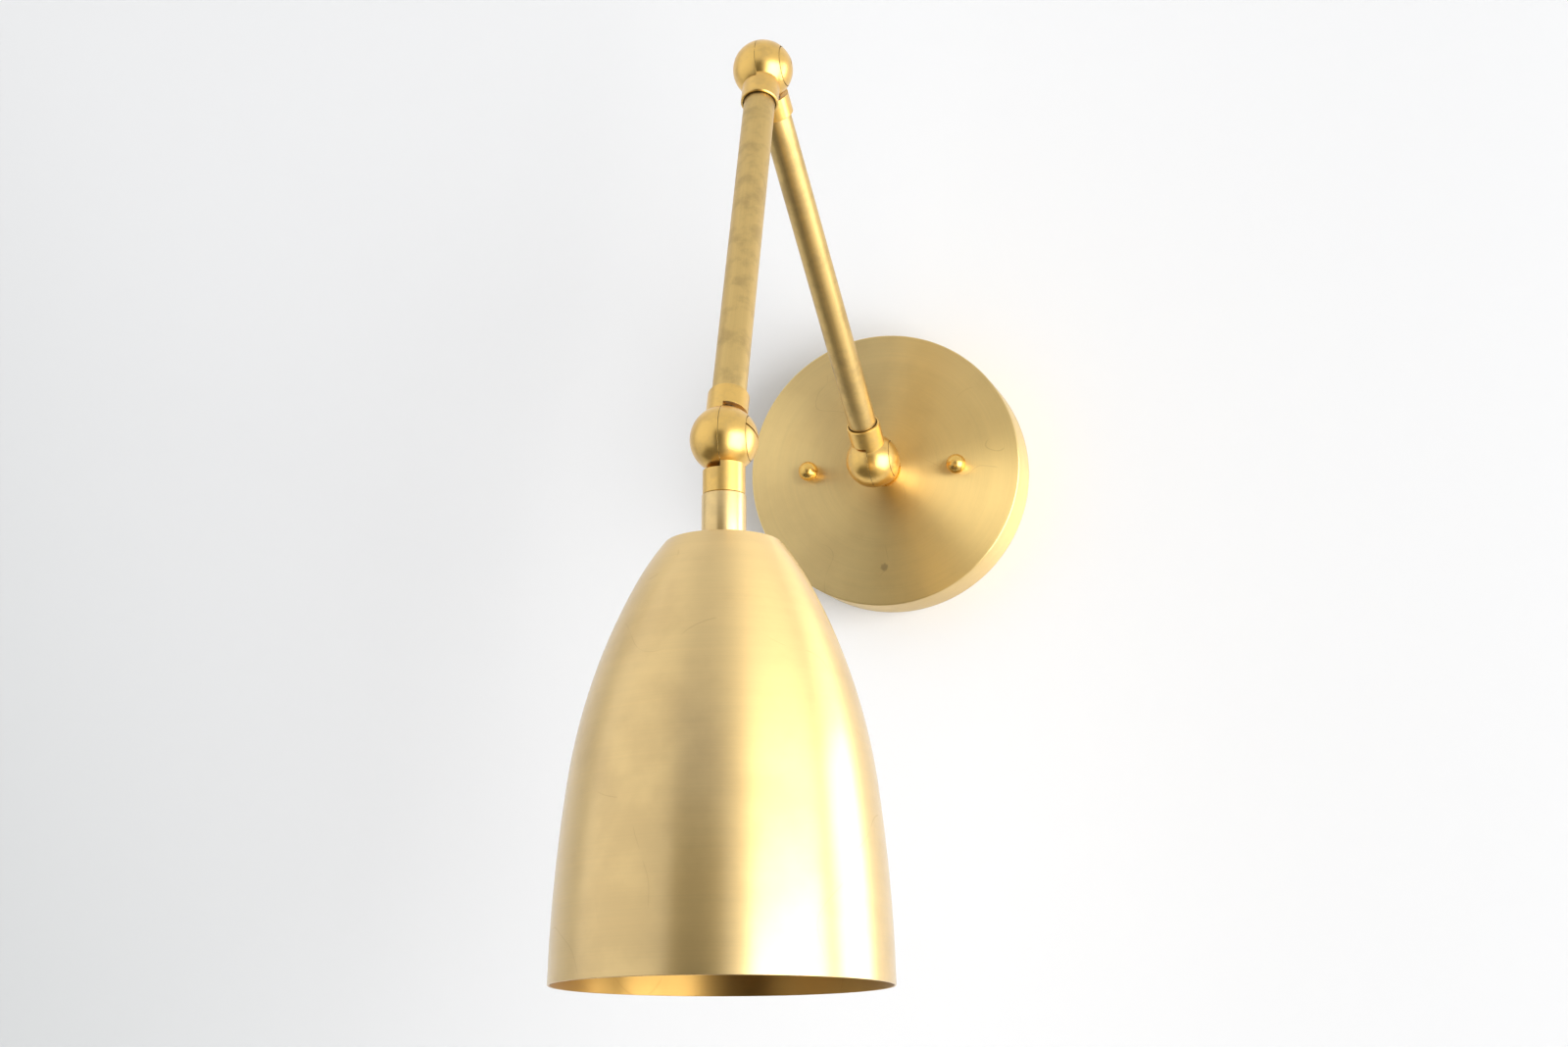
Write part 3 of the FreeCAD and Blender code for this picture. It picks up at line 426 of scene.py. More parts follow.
@dataclass(frozen=True)
class Plain:
    """Plated steel, moulded plastic or insulation, with slight unevenness.

    Attributes:
        tone: Main colour.
        other: Colour that the unevenness leads to.
        metallic: 1 for bare metal.
        roughness: Mean roughness.
        cloud: Size of the unevenness, in millimetres.
        thread_pitch: Pitch of a thread along Y, in millimetres, or 0.
        split_along_x: Where the second colour takes over, along X in millimetres, if the piece is split.
        coat: Weight of a clear gloss.
    """

    tone: Colour
    other: Colour
    metallic: float = 0.0
    roughness: float = 0.4
    cloud: float = 4.0
    thread_pitch: float = 0.0
    split_along_x: float | None = None
    coat: float = 0.0

    def material(self, name: str) -> bpy.types.Material:
        """Build the finish.

        Args:
            name: Name of the material.

        Returns:
            A material.
        """
        made, graph = new_material(name)
        place = graph.millimetres()
        clouds = graph.noise(place, 1.0 / self.cloud, detail=3.0, roughness=0.6)
        speckle = graph.noise(place, SPECKLE_SCALE)
        factor = clouds.band(*CLOUD_BAND)
        if self.split_along_x is not None:
            factor = graph.part_of(place, 0).band(self.split_along_x - SPLIT_EDGE,
                                                  self.split_along_x + SPLIT_EDGE)
        colour = graph.blend(factor, self.tone, self.other)
        height = speckle * SPECKLE_RELIEF
        if self.thread_pitch:
            turns = graph.part_of(place, 1) * (2.0 * math.pi / self.thread_pitch)
            height = height + turns.sine() * THREAD_RELIEF
        rough = (speckle - 0.5) * SPECKLE_GLOSS + (clouds - 0.5) * CLOUD_GLOSS + self.roughness
        graph.surface(graph.node("ShaderNodeBsdfPrincipled", None, {
            "Base Color": graph.shade_of(colour, (speckle - 0.5) * SPECKLE_TONE + 1.0),
            "Metallic": self.metallic, "Roughness": rough, "Coat Weight": self.coat,
            "Normal": graph.node("ShaderNodeBump", None, {"Height": height, **PLAIN_RELIEF})}))
        return made


PALE_GOLD: Colour = (0.85, 0.60, 0.235)
DEEP_GOLD: Colour = (0.84, 0.53, 0.14)
OLIVE: Colour = (0.42, 0.29, 0.12)
BROWN: Colour = (0.36, 0.20, 0.07)


class Finish(Enum):
    """Every finish of the lamp."""

    # the shade's inner side is painted darker as painted shade
    SHADE = Brass(PALE_GOLD, (0.66, 0.45, 0.17), roughness=0.42, anisotropy=0.8, grain=Grain.ROUND,
                  line_density=1.7, line_depth=0.10, dulling=0.35, cloud=34.0, hairlines=0.35,
                  shaded_inside=(0.50, 0.30, 0.085), coat=0.6)
    # the canopy has one round darker spot under its centre
    CANOPY = Brass((0.82, 0.60, 0.235), OLIVE, roughness=0.44, anisotropy=0.85, grain=Grain.ROUND,
                   line_density=1.5, line_depth=0.12, dulling=0.08, cloud=22.0, hairlines=0.2,
                   coat=0.4, dark_spots=((0.0, -45.7, 25.4, 2.2),))
    TUBE = Brass((0.66, 0.46, 0.175), OLIVE, roughness=0.37, grain=Grain.ALONG,
                 line_density=2.2, line_depth=0.16, dulling=0.55, cloud=9.0)
    # the balls' seams get dirt and painted shade
    BALL = Brass(DEEP_GOLD, (0.50, 0.33, 0.12), roughness=0.30, line_density=1.2, line_depth=0.08,
                 dulling=0.35, cloud=6.0, soft_edge=0.12, coat=0.2, seam_dirt_and_shade=0.7)
    COUPLING = Brass(PALE_GOLD, OLIVE, roughness=0.34, anisotropy=0.6, grain=Grain.ROUND,
                     line_density=2.4, line_depth=0.12, dulling=0.2, cloud=8.0, coat=0.5)
    NUT = Brass(DEEP_GOLD, BROWN, roughness=0.26, line_density=2.0, line_depth=0.06,
                dulling=0.2, cloud=4.0, soft_edge=0.12)
    CAP = Brass((0.74, 0.52, 0.24), OLIVE, dulling=0.4, cloud=8.0, soft_edge=0.2)
    CONTACT = Brass((0.83, 0.66, 0.36), OLIVE, roughness=0.28, dulling=0.2, cloud=6.0)
    STEEL = Plain((0.56, 0.56, 0.54), (0.66, 0.63, 0.50), metallic=1.0, roughness=0.36)
    THREADED = Plain((0.58, 0.56, 0.50), (0.66, 0.62, 0.48), metallic=1.0, roughness=0.34,
                     thread_pitch=0.94)
    EARTH = Plain((0.03, 0.20, 0.06), (0.04, 0.25, 0.08), roughness=0.35, coat=0.4)
    NYLON = Plain((0.75, 0.73, 0.66), (0.68, 0.66, 0.58), roughness=0.5)
    LEADS = Plain((0.02, 0.02, 0.02), (0.72, 0.72, 0.70), roughness=0.5, split_along_x=0.0)
    HOLDER = Plain((0.022, 0.020, 0.019), (0.032, 0.029, 0.027), roughness=0.28, coat=0.3)

    def material(self) -> bpy.types.Material:
        """The finish's material, built once."""
        name = f"{self.name.lower()}_finish"
        return bpy.data.materials.get(name) or self.value.material(name)


# ---------------- turned meshes

FILLET_STEP = 18.0  # largest turn of one stretch of a fillet, in degrees
SHARP_EDGE = 40.0  # angle over which an edge of a turned piece stays sharp
THREAD_EDGE = 50.0  # that angle on a rolled thread
ON_AXIS = 1e-6  # radius under which a point lies on the axis, in millimetres
EASE = 0.15  # radius that eases a cut edge, in millimetres


@dataclass(frozen=True)
class Seat:
    """A place and direction in the lamp's frame.

    Attributes:
        origin: Where the piece's own origin lies, in metres.
        axis: Where the piece's own Z points.
        side: Roughly where the piece's own X points.
    """

    origin: Vector
    axis: Vector
    side: Vector

    def matrix(self) -> Matrix:
        """Transform from the piece's own frame to the lamp's."""
        z_axis = self.axis.normalized()
        y_axis = z_axis.cross(self.side).normalized()
        x_axis = y_axis.cross(z_axis)
        turn = Matrix((x_axis, y_axis, z_axis)).transposed()
        return Matrix.Translation(self.origin) @ turn.to_4x4()


class Outline:
    """Closed outline of a turned piece in (radius, height), in millimetres."""

    def __init__(self, step: float = 4.0) -> None:
        """Start an outline.

        Args:
            step: Largest turn of one stretch of an arc, in degrees.
        """
        self.step = step
        self.points: list[Point] = []

    def to(self, radius: float, height: float, fillet: float = 0.0) -> "Outline":
        """Run straight to a point.

        Args:
            radius: The point's radius.
            height: The point's height.
            fillet: Radius that rounds this corner.

        Returns:
            The same outline.
        """
        self.points.append((radius, height, fillet))
        return self

    def arc(self, bend: float, start: float, end: float) -> "Outline":
        """Run along an arc from the last point.

        Args:
            bend: Radius of the arc.
            start: Direction of the outline at its start, in degrees from +radius towards +height.
            end: Direction at its end.

        Returns:
            The same outline.
        """
        radius, height, _ = self.points[-1]
        count = max(1, math.ceil(abs(end - start) / self.step))
        way = math.copysign(bend, end - start)
        first = math.radians(start)
        for number in range(1, count + 1):
            now = math.radians(start + (end - start) * number / count)
            self.points.append((radius + way * (math.sin(now) - math.sin(first)),
                                height - way * (math.cos(now) - math.cos(first)), 0.0))
        return self

    def rounded(self) -> list[tuple[float, float]]:
        """The outline's points, with its filleted corners replaced by arcs."""
        result: list[tuple[float, float]] = []
        count = len(self.points)
        for index, (radius, height, fillet) in enumerate(self.points):
            corner = Vector((radius, height))
            if not fillet:
                result.append((radius, height))
                continue
            before = (Vector(self.points[index - 1][:2]) - corner).normalized()
            after = (Vector(self.points[(index + 1) % count][:2]) - corner).normalized()
            half = before.angle(after) / 2.0
            middle = corner + (before + after).normalized() * (fillet / math.sin(half))
            reach = fillet / math.tan(half)
            first = corner + before * reach - middle
            last = corner + after * reach - middle
            steps = max(2, math.ceil((math.pi - 2.0 * half) / math.radians(FILLET_STEP)))
            for number in range(steps + 1):
                result.append(tuple(middle + first.slerp(last, number / steps) * fillet))
        return result


def smooth_mesh(name: str, vertices: list[Point], faces: list[list[int]],
                sharp: float) -> bpy.types.Mesh:
    """Make a smooth mesh.

    Args:
        name: Name of the mesh.
        vertices: Its points, in metres.
        faces: The points of each face.
        sharp: Angle over which an edge stays sharp, in degrees.

    Returns:
        The mesh.
    """
    mesh = bpy.data.meshes.new(name)
    mesh.from_pydata(vertices, [], faces)
    mesh.validate()
    mesh.shade_smooth()
    mesh.set_sharp_from_angle(angle=math.radians(sharp))
    return mesh


def turned_mesh(name: str, outline: Outline, sides: int) -> bpy.types.Mesh:
    """Turn a closed outline round Z.

    Args:
        name: Name of the mesh.
        outline: The outline, in millimetres.
        sides: Number of sides of the circle.

    Returns:
        A smooth mesh in metres.
    """
    vertices: list[Point] = []
    rings: list[tuple[int, int]] = []
    for radius, height in outline.rounded():
        points = 1 if radius < ON_AXIS else sides
        rings.append((len(vertices), points))
        for number in range(points):
            angle = 2.0 * math.pi * number / sides
            vertices.append((radius * MM * math.cos(angle), radius * MM * math.sin(angle), height * MM))
    faces = []
    for (start, count), (after, after_count) in zip(rings, rings[1:] + rings[:1]):
        for number in range(sides):
            following = (number + 1) % sides
            loop = [start + number % count, start + following % count,
                    after + following % after_count, after + number % after_count]
            face = list(dict.fromkeys(loop))
            if len(face) > 2:
                faces.append(face)
    return smooth_mesh(name, vertices, faces, SHARP_EDGE)


def piece(mesh: bpy.types.Mesh, seat: Seat, body: str, finish: Finish,
          stands_for: tuple[str, ...]) -> bpy.types.Object:
    """Place a piece, dress it and tie it to its body.

    Args:
        mesh: The piece's mesh in its own frame.
        seat: Where it goes.
        body: The body it rides on.
        finish: Its finish.
        stands_for: The nodes it replaces.

    Returns:
        The piece.
    """
    made = bpy.data.objects.new(mesh.name, mesh)
    bpy.context.scene.collection.objects.link(made)
    made.matrix_world = seat.matrix()
    mesh.materials.append(finish.material())
    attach(made, body)
    if stands_for:
        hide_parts(*stands_for)
    LOG.info("%s: %d faces on %s, %s", made.name, len(mesh.polygons), body, finish.name.lower())
    return made


def dress(finishes: dict[str, Finish]) -> None:
    """Give carried-over nodes their finish.

    Args:
        finishes: Finish of each node.
    """
    for node, finish in finishes.items():
        mesh = frame["nodes"][node].data
        if not mesh.materials:
            mesh.materials.append(None)
        for index in range(len(mesh.materials)):
            mesh.materials[index] = finish.material()
        LOG.info("%s: %s", node, finish.name.lower())


# ---------------- layout from the frame


class Layout:
    """Pivots and directions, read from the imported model."""

    def __init__(self) -> None:
        """Read the joints and the lamp socket's mount."""
        joints = {joint["name"]: joint for joint in frame["joints"]}
        mounts = {mount["name"]: mount for mount in frame["record"]["mounts"]}
        self.wall = Vector(joints["wall_swivel"]["pos_m"])
        self.elbow = Vector(joints["elbow_swivel"]["pos_m"])
        self.knuckle = Vector(joints["shade_swivel"]["pos_m"])
        self.swing = -Vector(joints["wall_swivel"]["axis"])
        self.shade_swing = -Vector(joints["shade_swivel"]["axis"])
        self.shade = Vector(mounts["lamp_socket"]["axis"])

    def on_wall(self) -> Seat:
        """The canopy's seat, facing out of the wall."""
        return Seat(Vector(), Vector((0.0, -1.0, 0.0)), Vector((1.0, 0.0, 0.0)))

    def lower_arm(self) -> Seat:
        """The lower arm's seat, from the wall pivot to the elbow."""
        return Seat(self.wall, self.elbow - self.wall, self.swing)

    def upper_arm(self) -> Seat:
        """The upper arm's seat, from the elbow to the shade's pivot."""
        return Seat(self.elbow, self.knuckle - self.elbow, self.swing)

    def shade_head(self) -> Seat:
        """The shade's seat, from its pivot to its mouth."""
        return Seat(self.knuckle, self.shade, self.shade_swing)


# ---------------- sub-assemblies


@dataclass
class WallMount:
    """Canopy and everything behind it.

    Attributes:
        radius: Outside radius of the canopy.
        depth: Its depth.
        wall: Thickness of its sheet.
        edge: Outside radius of its front edge.
        edge_inside: Inside radius of its front edge.
        hole: Radius of its centre hole.
        nut_radius: Radius of a ball nut.
        nut_foot: Radius of a ball nut's foot.
        nut_centre: Height of a ball nut's centre over the canopy.
        nut_offset: Distance of a ball nut from the centre.
    """

    radius: float = 63.5
    depth: float = 25.4
    wall: float = 0.9
    edge: float = 0.8
    edge_inside: float = 0.5
    hole: float = 5.15
    nut_radius: float = 4.5
    nut_foot: float = 3.2
    nut_centre: float = 4.4
    nut_offset: float = 34.925

    def canopy_mesh(self) -> bpy.types.Mesh:
        """The canopy's spun dish."""
        inner = self.radius - self.wall
        face = self.depth - self.wall
        outline = Outline()
        outline.to(self.radius, 0.0, EASE).to(self.radius, self.depth, self.edge)
        outline.to(self.hole, self.depth).to(self.hole, face)
        outline.to(inner, face, self.edge_inside).to(inner, 0.0, EASE)
        return turned_mesh("canopy_dish", outline, sides=256)

    def nut_mesh(self, name: str) -> bpy.types.Mesh:
        """One ball nut on its foot."""
        meeting = math.degrees(math.asin(self.nut_foot / self.nut_radius))
        low = self.nut_centre - math.sqrt(self.nut_radius ** 2 - self.nut_foot ** 2)
        outline = Outline(step=6.0)
        outline.to(0.0, 0.0).to(self.nut_foot, 0.0, EASE).to(self.nut_foot, low)
        outline.arc(self.nut_radius, meeting, 180.0)
        return turned_mesh(name, outline, sides=64)

    def build(self, layout: Layout) -> None:
        """Build and dress the wall mount.

        Args:
            layout: Places and directions.
        """
        seat = layout.on_wall()
        piece(self.canopy_mesh(), seat, "wall_mount", Finish.CANOPY, ("canopy",))
        for name, side in (("ball_nut_left", -1.0), ("ball_nut_right", 1.0)):
            place = Vector((side * self.nut_offset * MM, -self.depth * MM, 0.0))
            nut_seat = Seat(place, seat.axis, seat.side)
            piece(self.nut_mesh(name), nut_seat, "wall_mount", Finish.NUT,
                  ("canopy_ball_nuts",))
        dress({
            "mounting_strap": Finish.STEEL, "canopy_studs": Finish.THREADED, "stud_lock_nuts": Finish.STEEL,
            "earth_screw": Finish.EARTH, "base_nipple": Finish.THREADED, "base_seat_washer": Finish.NUT,
            "base_lock_washer": Finish.STEEL, "base_lock_nut": Finish.STEEL, "supply_leads": Finish.LEADS,
        })


def dress_swivels() -> None:
    """Dress the three ball swivels, whose solids are carried over as they are."""
    for name in ("wall_swivel", "elbow_swivel", "shade_swivel"):
        dress({
            f"{name}_fixed_half": Finish.BALL, f"{name}_moving_half": Finish.BALL,
            f"{name}_pivot_screw": Finish.BALL, f"{name}_friction_washer": Finish.NYLON,
            f"{name}_spring_washer": Finish.STEEL,
        })


@dataclass
class Arm:
    """One straight arm between two swivels.

    Attributes:
        name: lower_arm or upper_arm.
        seat: Where it lies.
        length: Distance between its pivots.
        radius: Outside radius of its tube.
        bore: Radius of the tube's bore.
        start: Distance from a pivot to the tube's end.
        end_edge: Outside radius of the tube's ends.
        stretches: Number of equal lengths that its sides are split into.
    """

    name: str
    seat: Seat
    length: float = 197.4
    radius: float = 6.25
    bore: float = 5.15
    start: float = 18.6
    end_edge: float = 0.25
    stretches: int = 12

    def tube_mesh(self) -> bpy.types.Mesh:
        """The arm's tube, its ends eased."""
        end = self.length - self.start
        outline = Outline().to(self.radius, self.start, self.end_edge)
        for number in range(1, self.stretches):
            outline.to(self.radius, self.start + (end - self.start) * number / self.stretches)
        outline.to(self.radius, end, self.end_edge).to(self.bore, end, EASE).to(self.bore, self.start, EASE)
        return turned_mesh(f"{self.name}_pipe", outline, sides=72)

    def build(self) -> None:
        """Build and dress the arm."""
        piece(self.tube_mesh(), self.seat, self.name, Finish.TUBE, (f"{self.name}_tube",))
        dress({
            f"{self.name}_near_nipple": Finish.THREADED, f"{self.name}_far_nipple": Finish.THREADED,
            f"{self.name}_leads": Finish.LEADS,
        })


@dataclass
class ShadeHead:
    """Coupling, spun shade and lamp holder.

    Attributes:
        seat: Where it hangs.
        collar_end: Distance from the pivot to the coupling.
        coupling_radius: Radius of the coupling.
        coupling_length: Its length.
        coupling_edge: Outside radius of its ends.
        hole: Radius of the nipple's hole.
        rim_radius: Outside radius of the shade's mouth.
        rim_edge: Radius that rounds its rim.
        height: Height of the shade.
        wall: Thickness of its sheet.
        bends: Radius of each arc of its outline, from the corner down; the skirt's radius follows.
        angles: Outline's direction between the arcs, in degrees from the axis.
        shell_floor: Distance from the pivot to the screw shell's floor.
        shell_length: Length of the screw shell.
        shell_bore: Radius of its bore.
        shell_wall: Thickness of its sheet.
        shell_corner: Inside radius between its floor and its thread.
        floor_hole: Radius of the hole in its floor.
        thread_pitch: Pitch of its thread.
        thread_depth: Depth of its thread.
        thread_sheet: Thickness of the sheet along the thread.
    """

    seat: Seat
    collar_end: float = 20.5
    coupling_radius: float = 7.8
    coupling_length: float = 17.3
    coupling_edge: float = 0.3
    hole: float = 5.15
    rim_radius: float = 57.75
    rim_edge: float = 0.22
    height: float = 151.1
    wall: float = 0.8
    bends: tuple[float, ...] = (1.2, 100.0, 208.0)
    angles: tuple[float, ...] = (90.0, 38.3, 27.7, 7.83, 1.0)
    shell_floor: float = 69.5
    shell_length: float = 28.0
    shell_bore: float = 13.25
    shell_wall: float = 0.6
    shell_corner: float = 3.0
    floor_hole: float = 9.0
    thread_pitch: float = 3.6
    thread_depth: float = 0.5
    thread_sheet: float = 0.12

    def coupling_mesh(self) -> bpy.types.Mesh:
        """The plain coupling between swivel and shade."""
        top, low = self.collar_end, self.collar_end + self.coupling_length
        outline = Outline().to(self.coupling_radius, top, self.coupling_edge)
        outline.to(self.coupling_radius, low, self.coupling_edge)
        outline.to(self.hole, low).to(self.hole, top)
        return turned_mesh("shade_neck", outline, sides=96)

    def all_bends(self) -> tuple[float, ...]:
        """Radii of the outline's four arcs; the skirt's one closes the height."""
        sines = [math.sin(math.radians(angle)) for angle in self.angles]
        used = sum(bend * (sines[number] - sines[number + 1]) for number, bend in enumerate(self.bends))
        return (*self.bends, (self.height - used) / (sines[3] - sines[4]))

    def shade_mesh(self) -> bpy.types.Mesh:
        """The spun shell."""
        top = self.collar_end + self.coupling_length
        bends = self.all_bends()
        cosines = [math.cos(math.radians(angle)) for angle in self.angles]
        spread = sum(bend * (cosines[number + 1] - cosines[number]) for number, bend in enumerate(bends))
        flat = self.rim_radius - spread
        outline = Outline(step=1.5).to(self.hole, top).to(flat, top)
        for bend, start, end in zip(bends, self.angles, self.angles[1:]):
            outline.arc(bend, 90.0 - start, 90.0 - end)
        outline.points[-1] = (*outline.points[-1][:2], self.rim_edge)
        rim = math.radians(self.angles[-1])
        outline.to(self.rim_radius - self.wall * math.cos(rim), top + self.height, self.rim_edge)
        for bend, start, end in reversed(list(zip(bends, self.angles, self.angles[1:]))):
            outline.arc(bend - self.wall, 270.0 - end, 270.0 - start)
        outline.to(self.hole, top + self.wall)
        return turned_mesh("shade_shell", outline, sides=288)

    def socket_mesh(self) -> bpy.types.Mesh:
        """The threaded screw shell: its floor, its rolled thread and its mouth."""
        sides, rings_per_turn, corner_rings, sheet = 96, 10, 6, self.thread_sheet
        floor, high = self.shell_floor + self.shell_wall, self.shell_floor + self.shell_length
        corner, low = self.shell_corner, floor + self.shell_corner
        count = math.ceil((high - low) / self.thread_pitch * rings_per_turn)
        heights = [low + (high - low) * number / count for number in range(count + 1)]
        vertices: list[Point] = []

        def ring(radius_at: Callable[[float], float], height: float) -> None:
            """Add one ring, whose radius may change round it."""
            for number in range(sides):
                angle = 2.0 * math.pi * number / sides
                radius = radius_at(angle)
                vertices.append((radius * MM * math.cos(angle), radius * MM * math.sin(angle), height * MM))

        def rounded(reach: float, drop: float, number: int) -> None:
            """Add one ring of the corner over the floor."""
            bend = math.radians(90.0 * number / corner_rings)
            radius = self.shell_bore - corner + reach * math.sin(bend)
            ring(lambda angle: radius, low - drop * math.cos(bend))

        def rolled(height: float, offset: float) -> None:
            """Add one ring of the thread, which fades out at both ends."""
            fade = min(1.0, (height - low) / self.thread_pitch, (high - height) / (0.5 * self.thread_pitch))
            swing = self.thread_depth * max(0.0, fade) / 2.0
            middle = self.shell_bore + offset + swing
            ring(lambda angle: middle - swing * math.cos(2.0 * math.pi * height / self.thread_pitch - angle),
                 height)

        ring(lambda angle: self.floor_hole, floor)
        for number in range(corner_rings):
            rounded(corner, corner, number)
        for height in heights:
            rolled(height, 0.0)
        for height in reversed(heights):
            rolled(height, sheet)
        for number in reversed(range(corner_rings)):
            rounded(corner + sheet, corner + self.shell_wall, number)
        ring(lambda angle: self.floor_hole, self.shell_floor)
        faces = []
        rings = len(vertices) // sides
        for row in range(rings):
            after = (row + 1) % rings
            for number in range(sides):
                beside = (number + 1) % sides
                faces.append([row * sides + number, row * sides + beside,
                              after * sides + beside, after * sides + number])
        return smooth_mesh("screw_shell_thread", vertices, faces, THREAD_EDGE)

    def build(self) -> None:
        """Build and dress the shade head."""
        body = "shade_head"
        piece(self.coupling_mesh(), self.seat, body, Finish.COUPLING, ("shade_coupling",))
        piece(self.shade_mesh(), self.seat, body, Finish.SHADE, ("shade",))
        piece(self.socket_mesh(), self.seat, body, Finish.CONTACT,
              ("lamp_holder_screw_shell",))
        dress({
            "shade_nipple": Finish.STEEL, "shade_washer": Finish.NUT, "shade_lock_nut": Finish.STEEL,
            "lamp_holder_cap": Finish.CAP, "lamp_holder_set_screw": Finish.NUT,
            "lamp_holder_body": Finish.HOLDER, "lamp_holder_centre_contact": Finish.CONTACT,
            "lamp_holder_terminal_screws": Finish.NUT, "lamp_holder_leads": Finish.LEADS,
        })


# ---------------- studio


@dataclass(frozen=True)
class SoftLight:
    """A rectangular soft light.

    Attributes:
        name: Its name.
        place: Where it stands, in metres.
        width: Its width, in metres.
        height: Its height, in metres.
        power: Its power, in watts.
    """

    name: str
    place: Point
    width: float
    height: float
    power: float

    def build(self, target: Vector) -> None:
        """Set the light up.

        Args:
            target: What it faces, in metres.
        """
        data = bpy.data.lights.new(self.name, "AREA")
        data.shape = "RECTANGLE"
        data.size, data.size_y = self.width, self.height
        data.energy = self.power
        lamp = bpy.data.objects.new(self.name, data)
        lamp.location = self.place
        lamp.rotation_euler = (target - Vector(self.place)).to_track_quat("-Z", "Y").to_euler()
        bpy.context.scene.collection.objects.link(lamp)


@dataclass
class Studio:
    """Wall, floor, light and camera.

    Attributes:
        wall_gap: Distance of the wall behind the canopy, in metres.
        room_half: Distance of the wall's left end and of the floor's edges, in metres.
        wall_right: Distance of the wall's right end, past which the second window lies.
        wall_top: Height of the wall's top, in metres.
        floor_height: Height of the floor, in metres.
        wall_shaded_tones: Colour of the wall at its left, behind the lamp and at its right; the darker left and
            right tones are painted shade.
        wall_shade_slant: How far the edge of the painted shade at the left leans, as X over Z.
        wall_shade_bands: Where the painted shade at the left and at the right fades in, in metres.
        floor_tone: Colour of the floor.
        floor_reflection_tones: Painted reflection colour that the brass shows of the floor, away from the window
            and, with painted window light, near it.
        floor_window_light_band: Where the painted window light on the reflected floor fades in, in metres.
        wall_grain: Waves of the wall's fine relief per metre.
        paint_roughness: Roughness of the wall, the floor and the card.
        room_tone: Colour of the room around.
        room_level: Strength of the room's light from below.
        room_ceiling: What the ceiling adds to it.
        ceiling_band: Where the ceiling's part fades in, as the Z of a direction.
        room_left: What the left side adds to it.
        left_band: Where the left side's part fades in, as the X of a direction.
        card_half: Half the dark card's width, in metres.
        card_heights: Heights of its lower and upper edge, in metres.
        card_distance: Its distance from the wall, in metres.
        card_tone: Its colour.
        windows: The soft lights.
        lit_place: What they face, in metres.
        camera_place: The camera's place, in metres.
        camera_turn: Its turn to the left, in degrees.
        camera_rise: Its rise over the horizontal, in degrees.
        camera_near: Distance under which it sees nothing, in metres.
        focal_pixels: Focal length in pixels of a picture of picture_width.
        picture_width: That width.
        sensor: Width of the sensor, in millimetres.
    """

    wall_gap: float = 0.0004
    room_half: float = 4.0
    wall_right: float = 0.42
    wall_top: float = 3.0
    floor_height: float = -2.4
    wall_shaded_tones: tuple[Colour, ...] = ((0.56, 0.57, 0.57), (0.74, 0.74, 0.745), (0.67, 0.67, 0.675))
    wall_shade_slant: float = 0.6
    wall_shade_bands: tuple[Band, ...] = ((-0.85, -0.25), (-0.05, 0.3))
    floor_tone: Colour = (0.72, 0.72, 0.71)
    floor_reflection_tones: tuple[Colour, ...] = ((0.14, 0.125, 0.10), (0.40, 0.37, 0.32))
    floor_window_light_band: Band = (0.3, 1.6)
    wall_grain: float = 60.0
    paint_roughness: float = 0.9
    room_tone: Colour = (0.80, 0.81, 0.82)
    room_level: float = 0.60
    room_ceiling: float = 0.45
    ceiling_band: Band = (-0.7, 0.2)
    room_left: float = 0.24
    left_band: Band = (0.0, -0.9)
    card_half: float = 0.65
    card_heights: tuple[float, float] = (-2.0, 0.75)
    card_distance: float = 2.3
    card_tone: Colour = (0.05, 0.045, 0.04)
    windows: tuple[SoftLight, ...] = (
        SoftLight("window", (2.67, -1.72, -0.60), 3.15, 3.0, 150.0),
        SoftLight("back_window", (2.25, 0.82, -0.1), 1.5, 1.9, 42.0),
    )
    lit_place: Point = (0.0, -0.2, -0.05)
    camera_place: Point = (0.2368, -1.0463, -0.1978)
    camera_turn: float = 15.58
    camera_rise: float = 9.35
    camera_near: float = 0.01
    focal_pixels: float = 2350.0
    picture_width: float = 1600.0
    sensor: float = 36.0

    def _sheet(self, name: str, corners: list[Point],
               material: bpy.types.Material) -> bpy.types.Object:
        """One flat four-cornered sheet of the studio.

        Args:
            name: The sheet's name.
            corners: Its corners, in metres.
            material: Its finish.

        Returns:
            The sheet.
        """
        mesh = bpy.data.meshes.new(name)
        mesh.from_pydata(corners, [], [(0, 1, 2, 3)])
        mesh.materials.append(material)
        made = bpy.data.objects.new(name, mesh)
        bpy.context.scene.collection.objects.link(made)
        return made

    def _matt(self, graph: Graph, colour: Wire | Colour, **more: Wire) -> Wire:
        """Matt paint.

        Args:
            graph: The graph to add it to.
            colour: Its colour.
            more: Further sockets of the shader.

        Returns:
            The shader.
        """
        return graph.node("ShaderNodeBsdfPrincipled", None,
                          {"Base Color": colour, "Roughness": self.paint_roughness, **more})

    def _wall_paint(self) -> bpy.types.Material:
        """White wall paint with painted shade, a little darker at both sides, seen only from the room's side."""
        made, graph = new_material("wall_paint")
        place = graph.node("ShaderNodeTexCoord", None, None, "Object")
        across = graph.part_of(place, 0)
        left, middle, right = self.wall_shaded_tones
        left_band, right_band = self.wall_shade_bands
        # the darker left and right of the wall are painted shade
        out_of_left_shade = (across + graph.part_of(place, 2) * self.wall_shade_slant).band(*left_band)
        colour = graph.blend(out_of_left_shade, left, middle)
        colour = graph.blend(across.band(*right_band), colour, right)
        grain = graph.noise(place, self.wall_grain, detail=3.0)
        relief = {"Height": grain, "Strength": 0.05, "Distance": 0.5 * MM}
        paint = self._matt(graph, colour, Normal=graph.node("ShaderNodeBump", None, relief))
        behind = graph.node("ShaderNodeNewGeometry", None, None, "Backfacing")
        clear = graph.node("ShaderNodeBsdfTransparent")
        graph.surface(graph.node("ShaderNodeMixShader", None, {0: behind, 1: paint, 2: clear}))
        return made

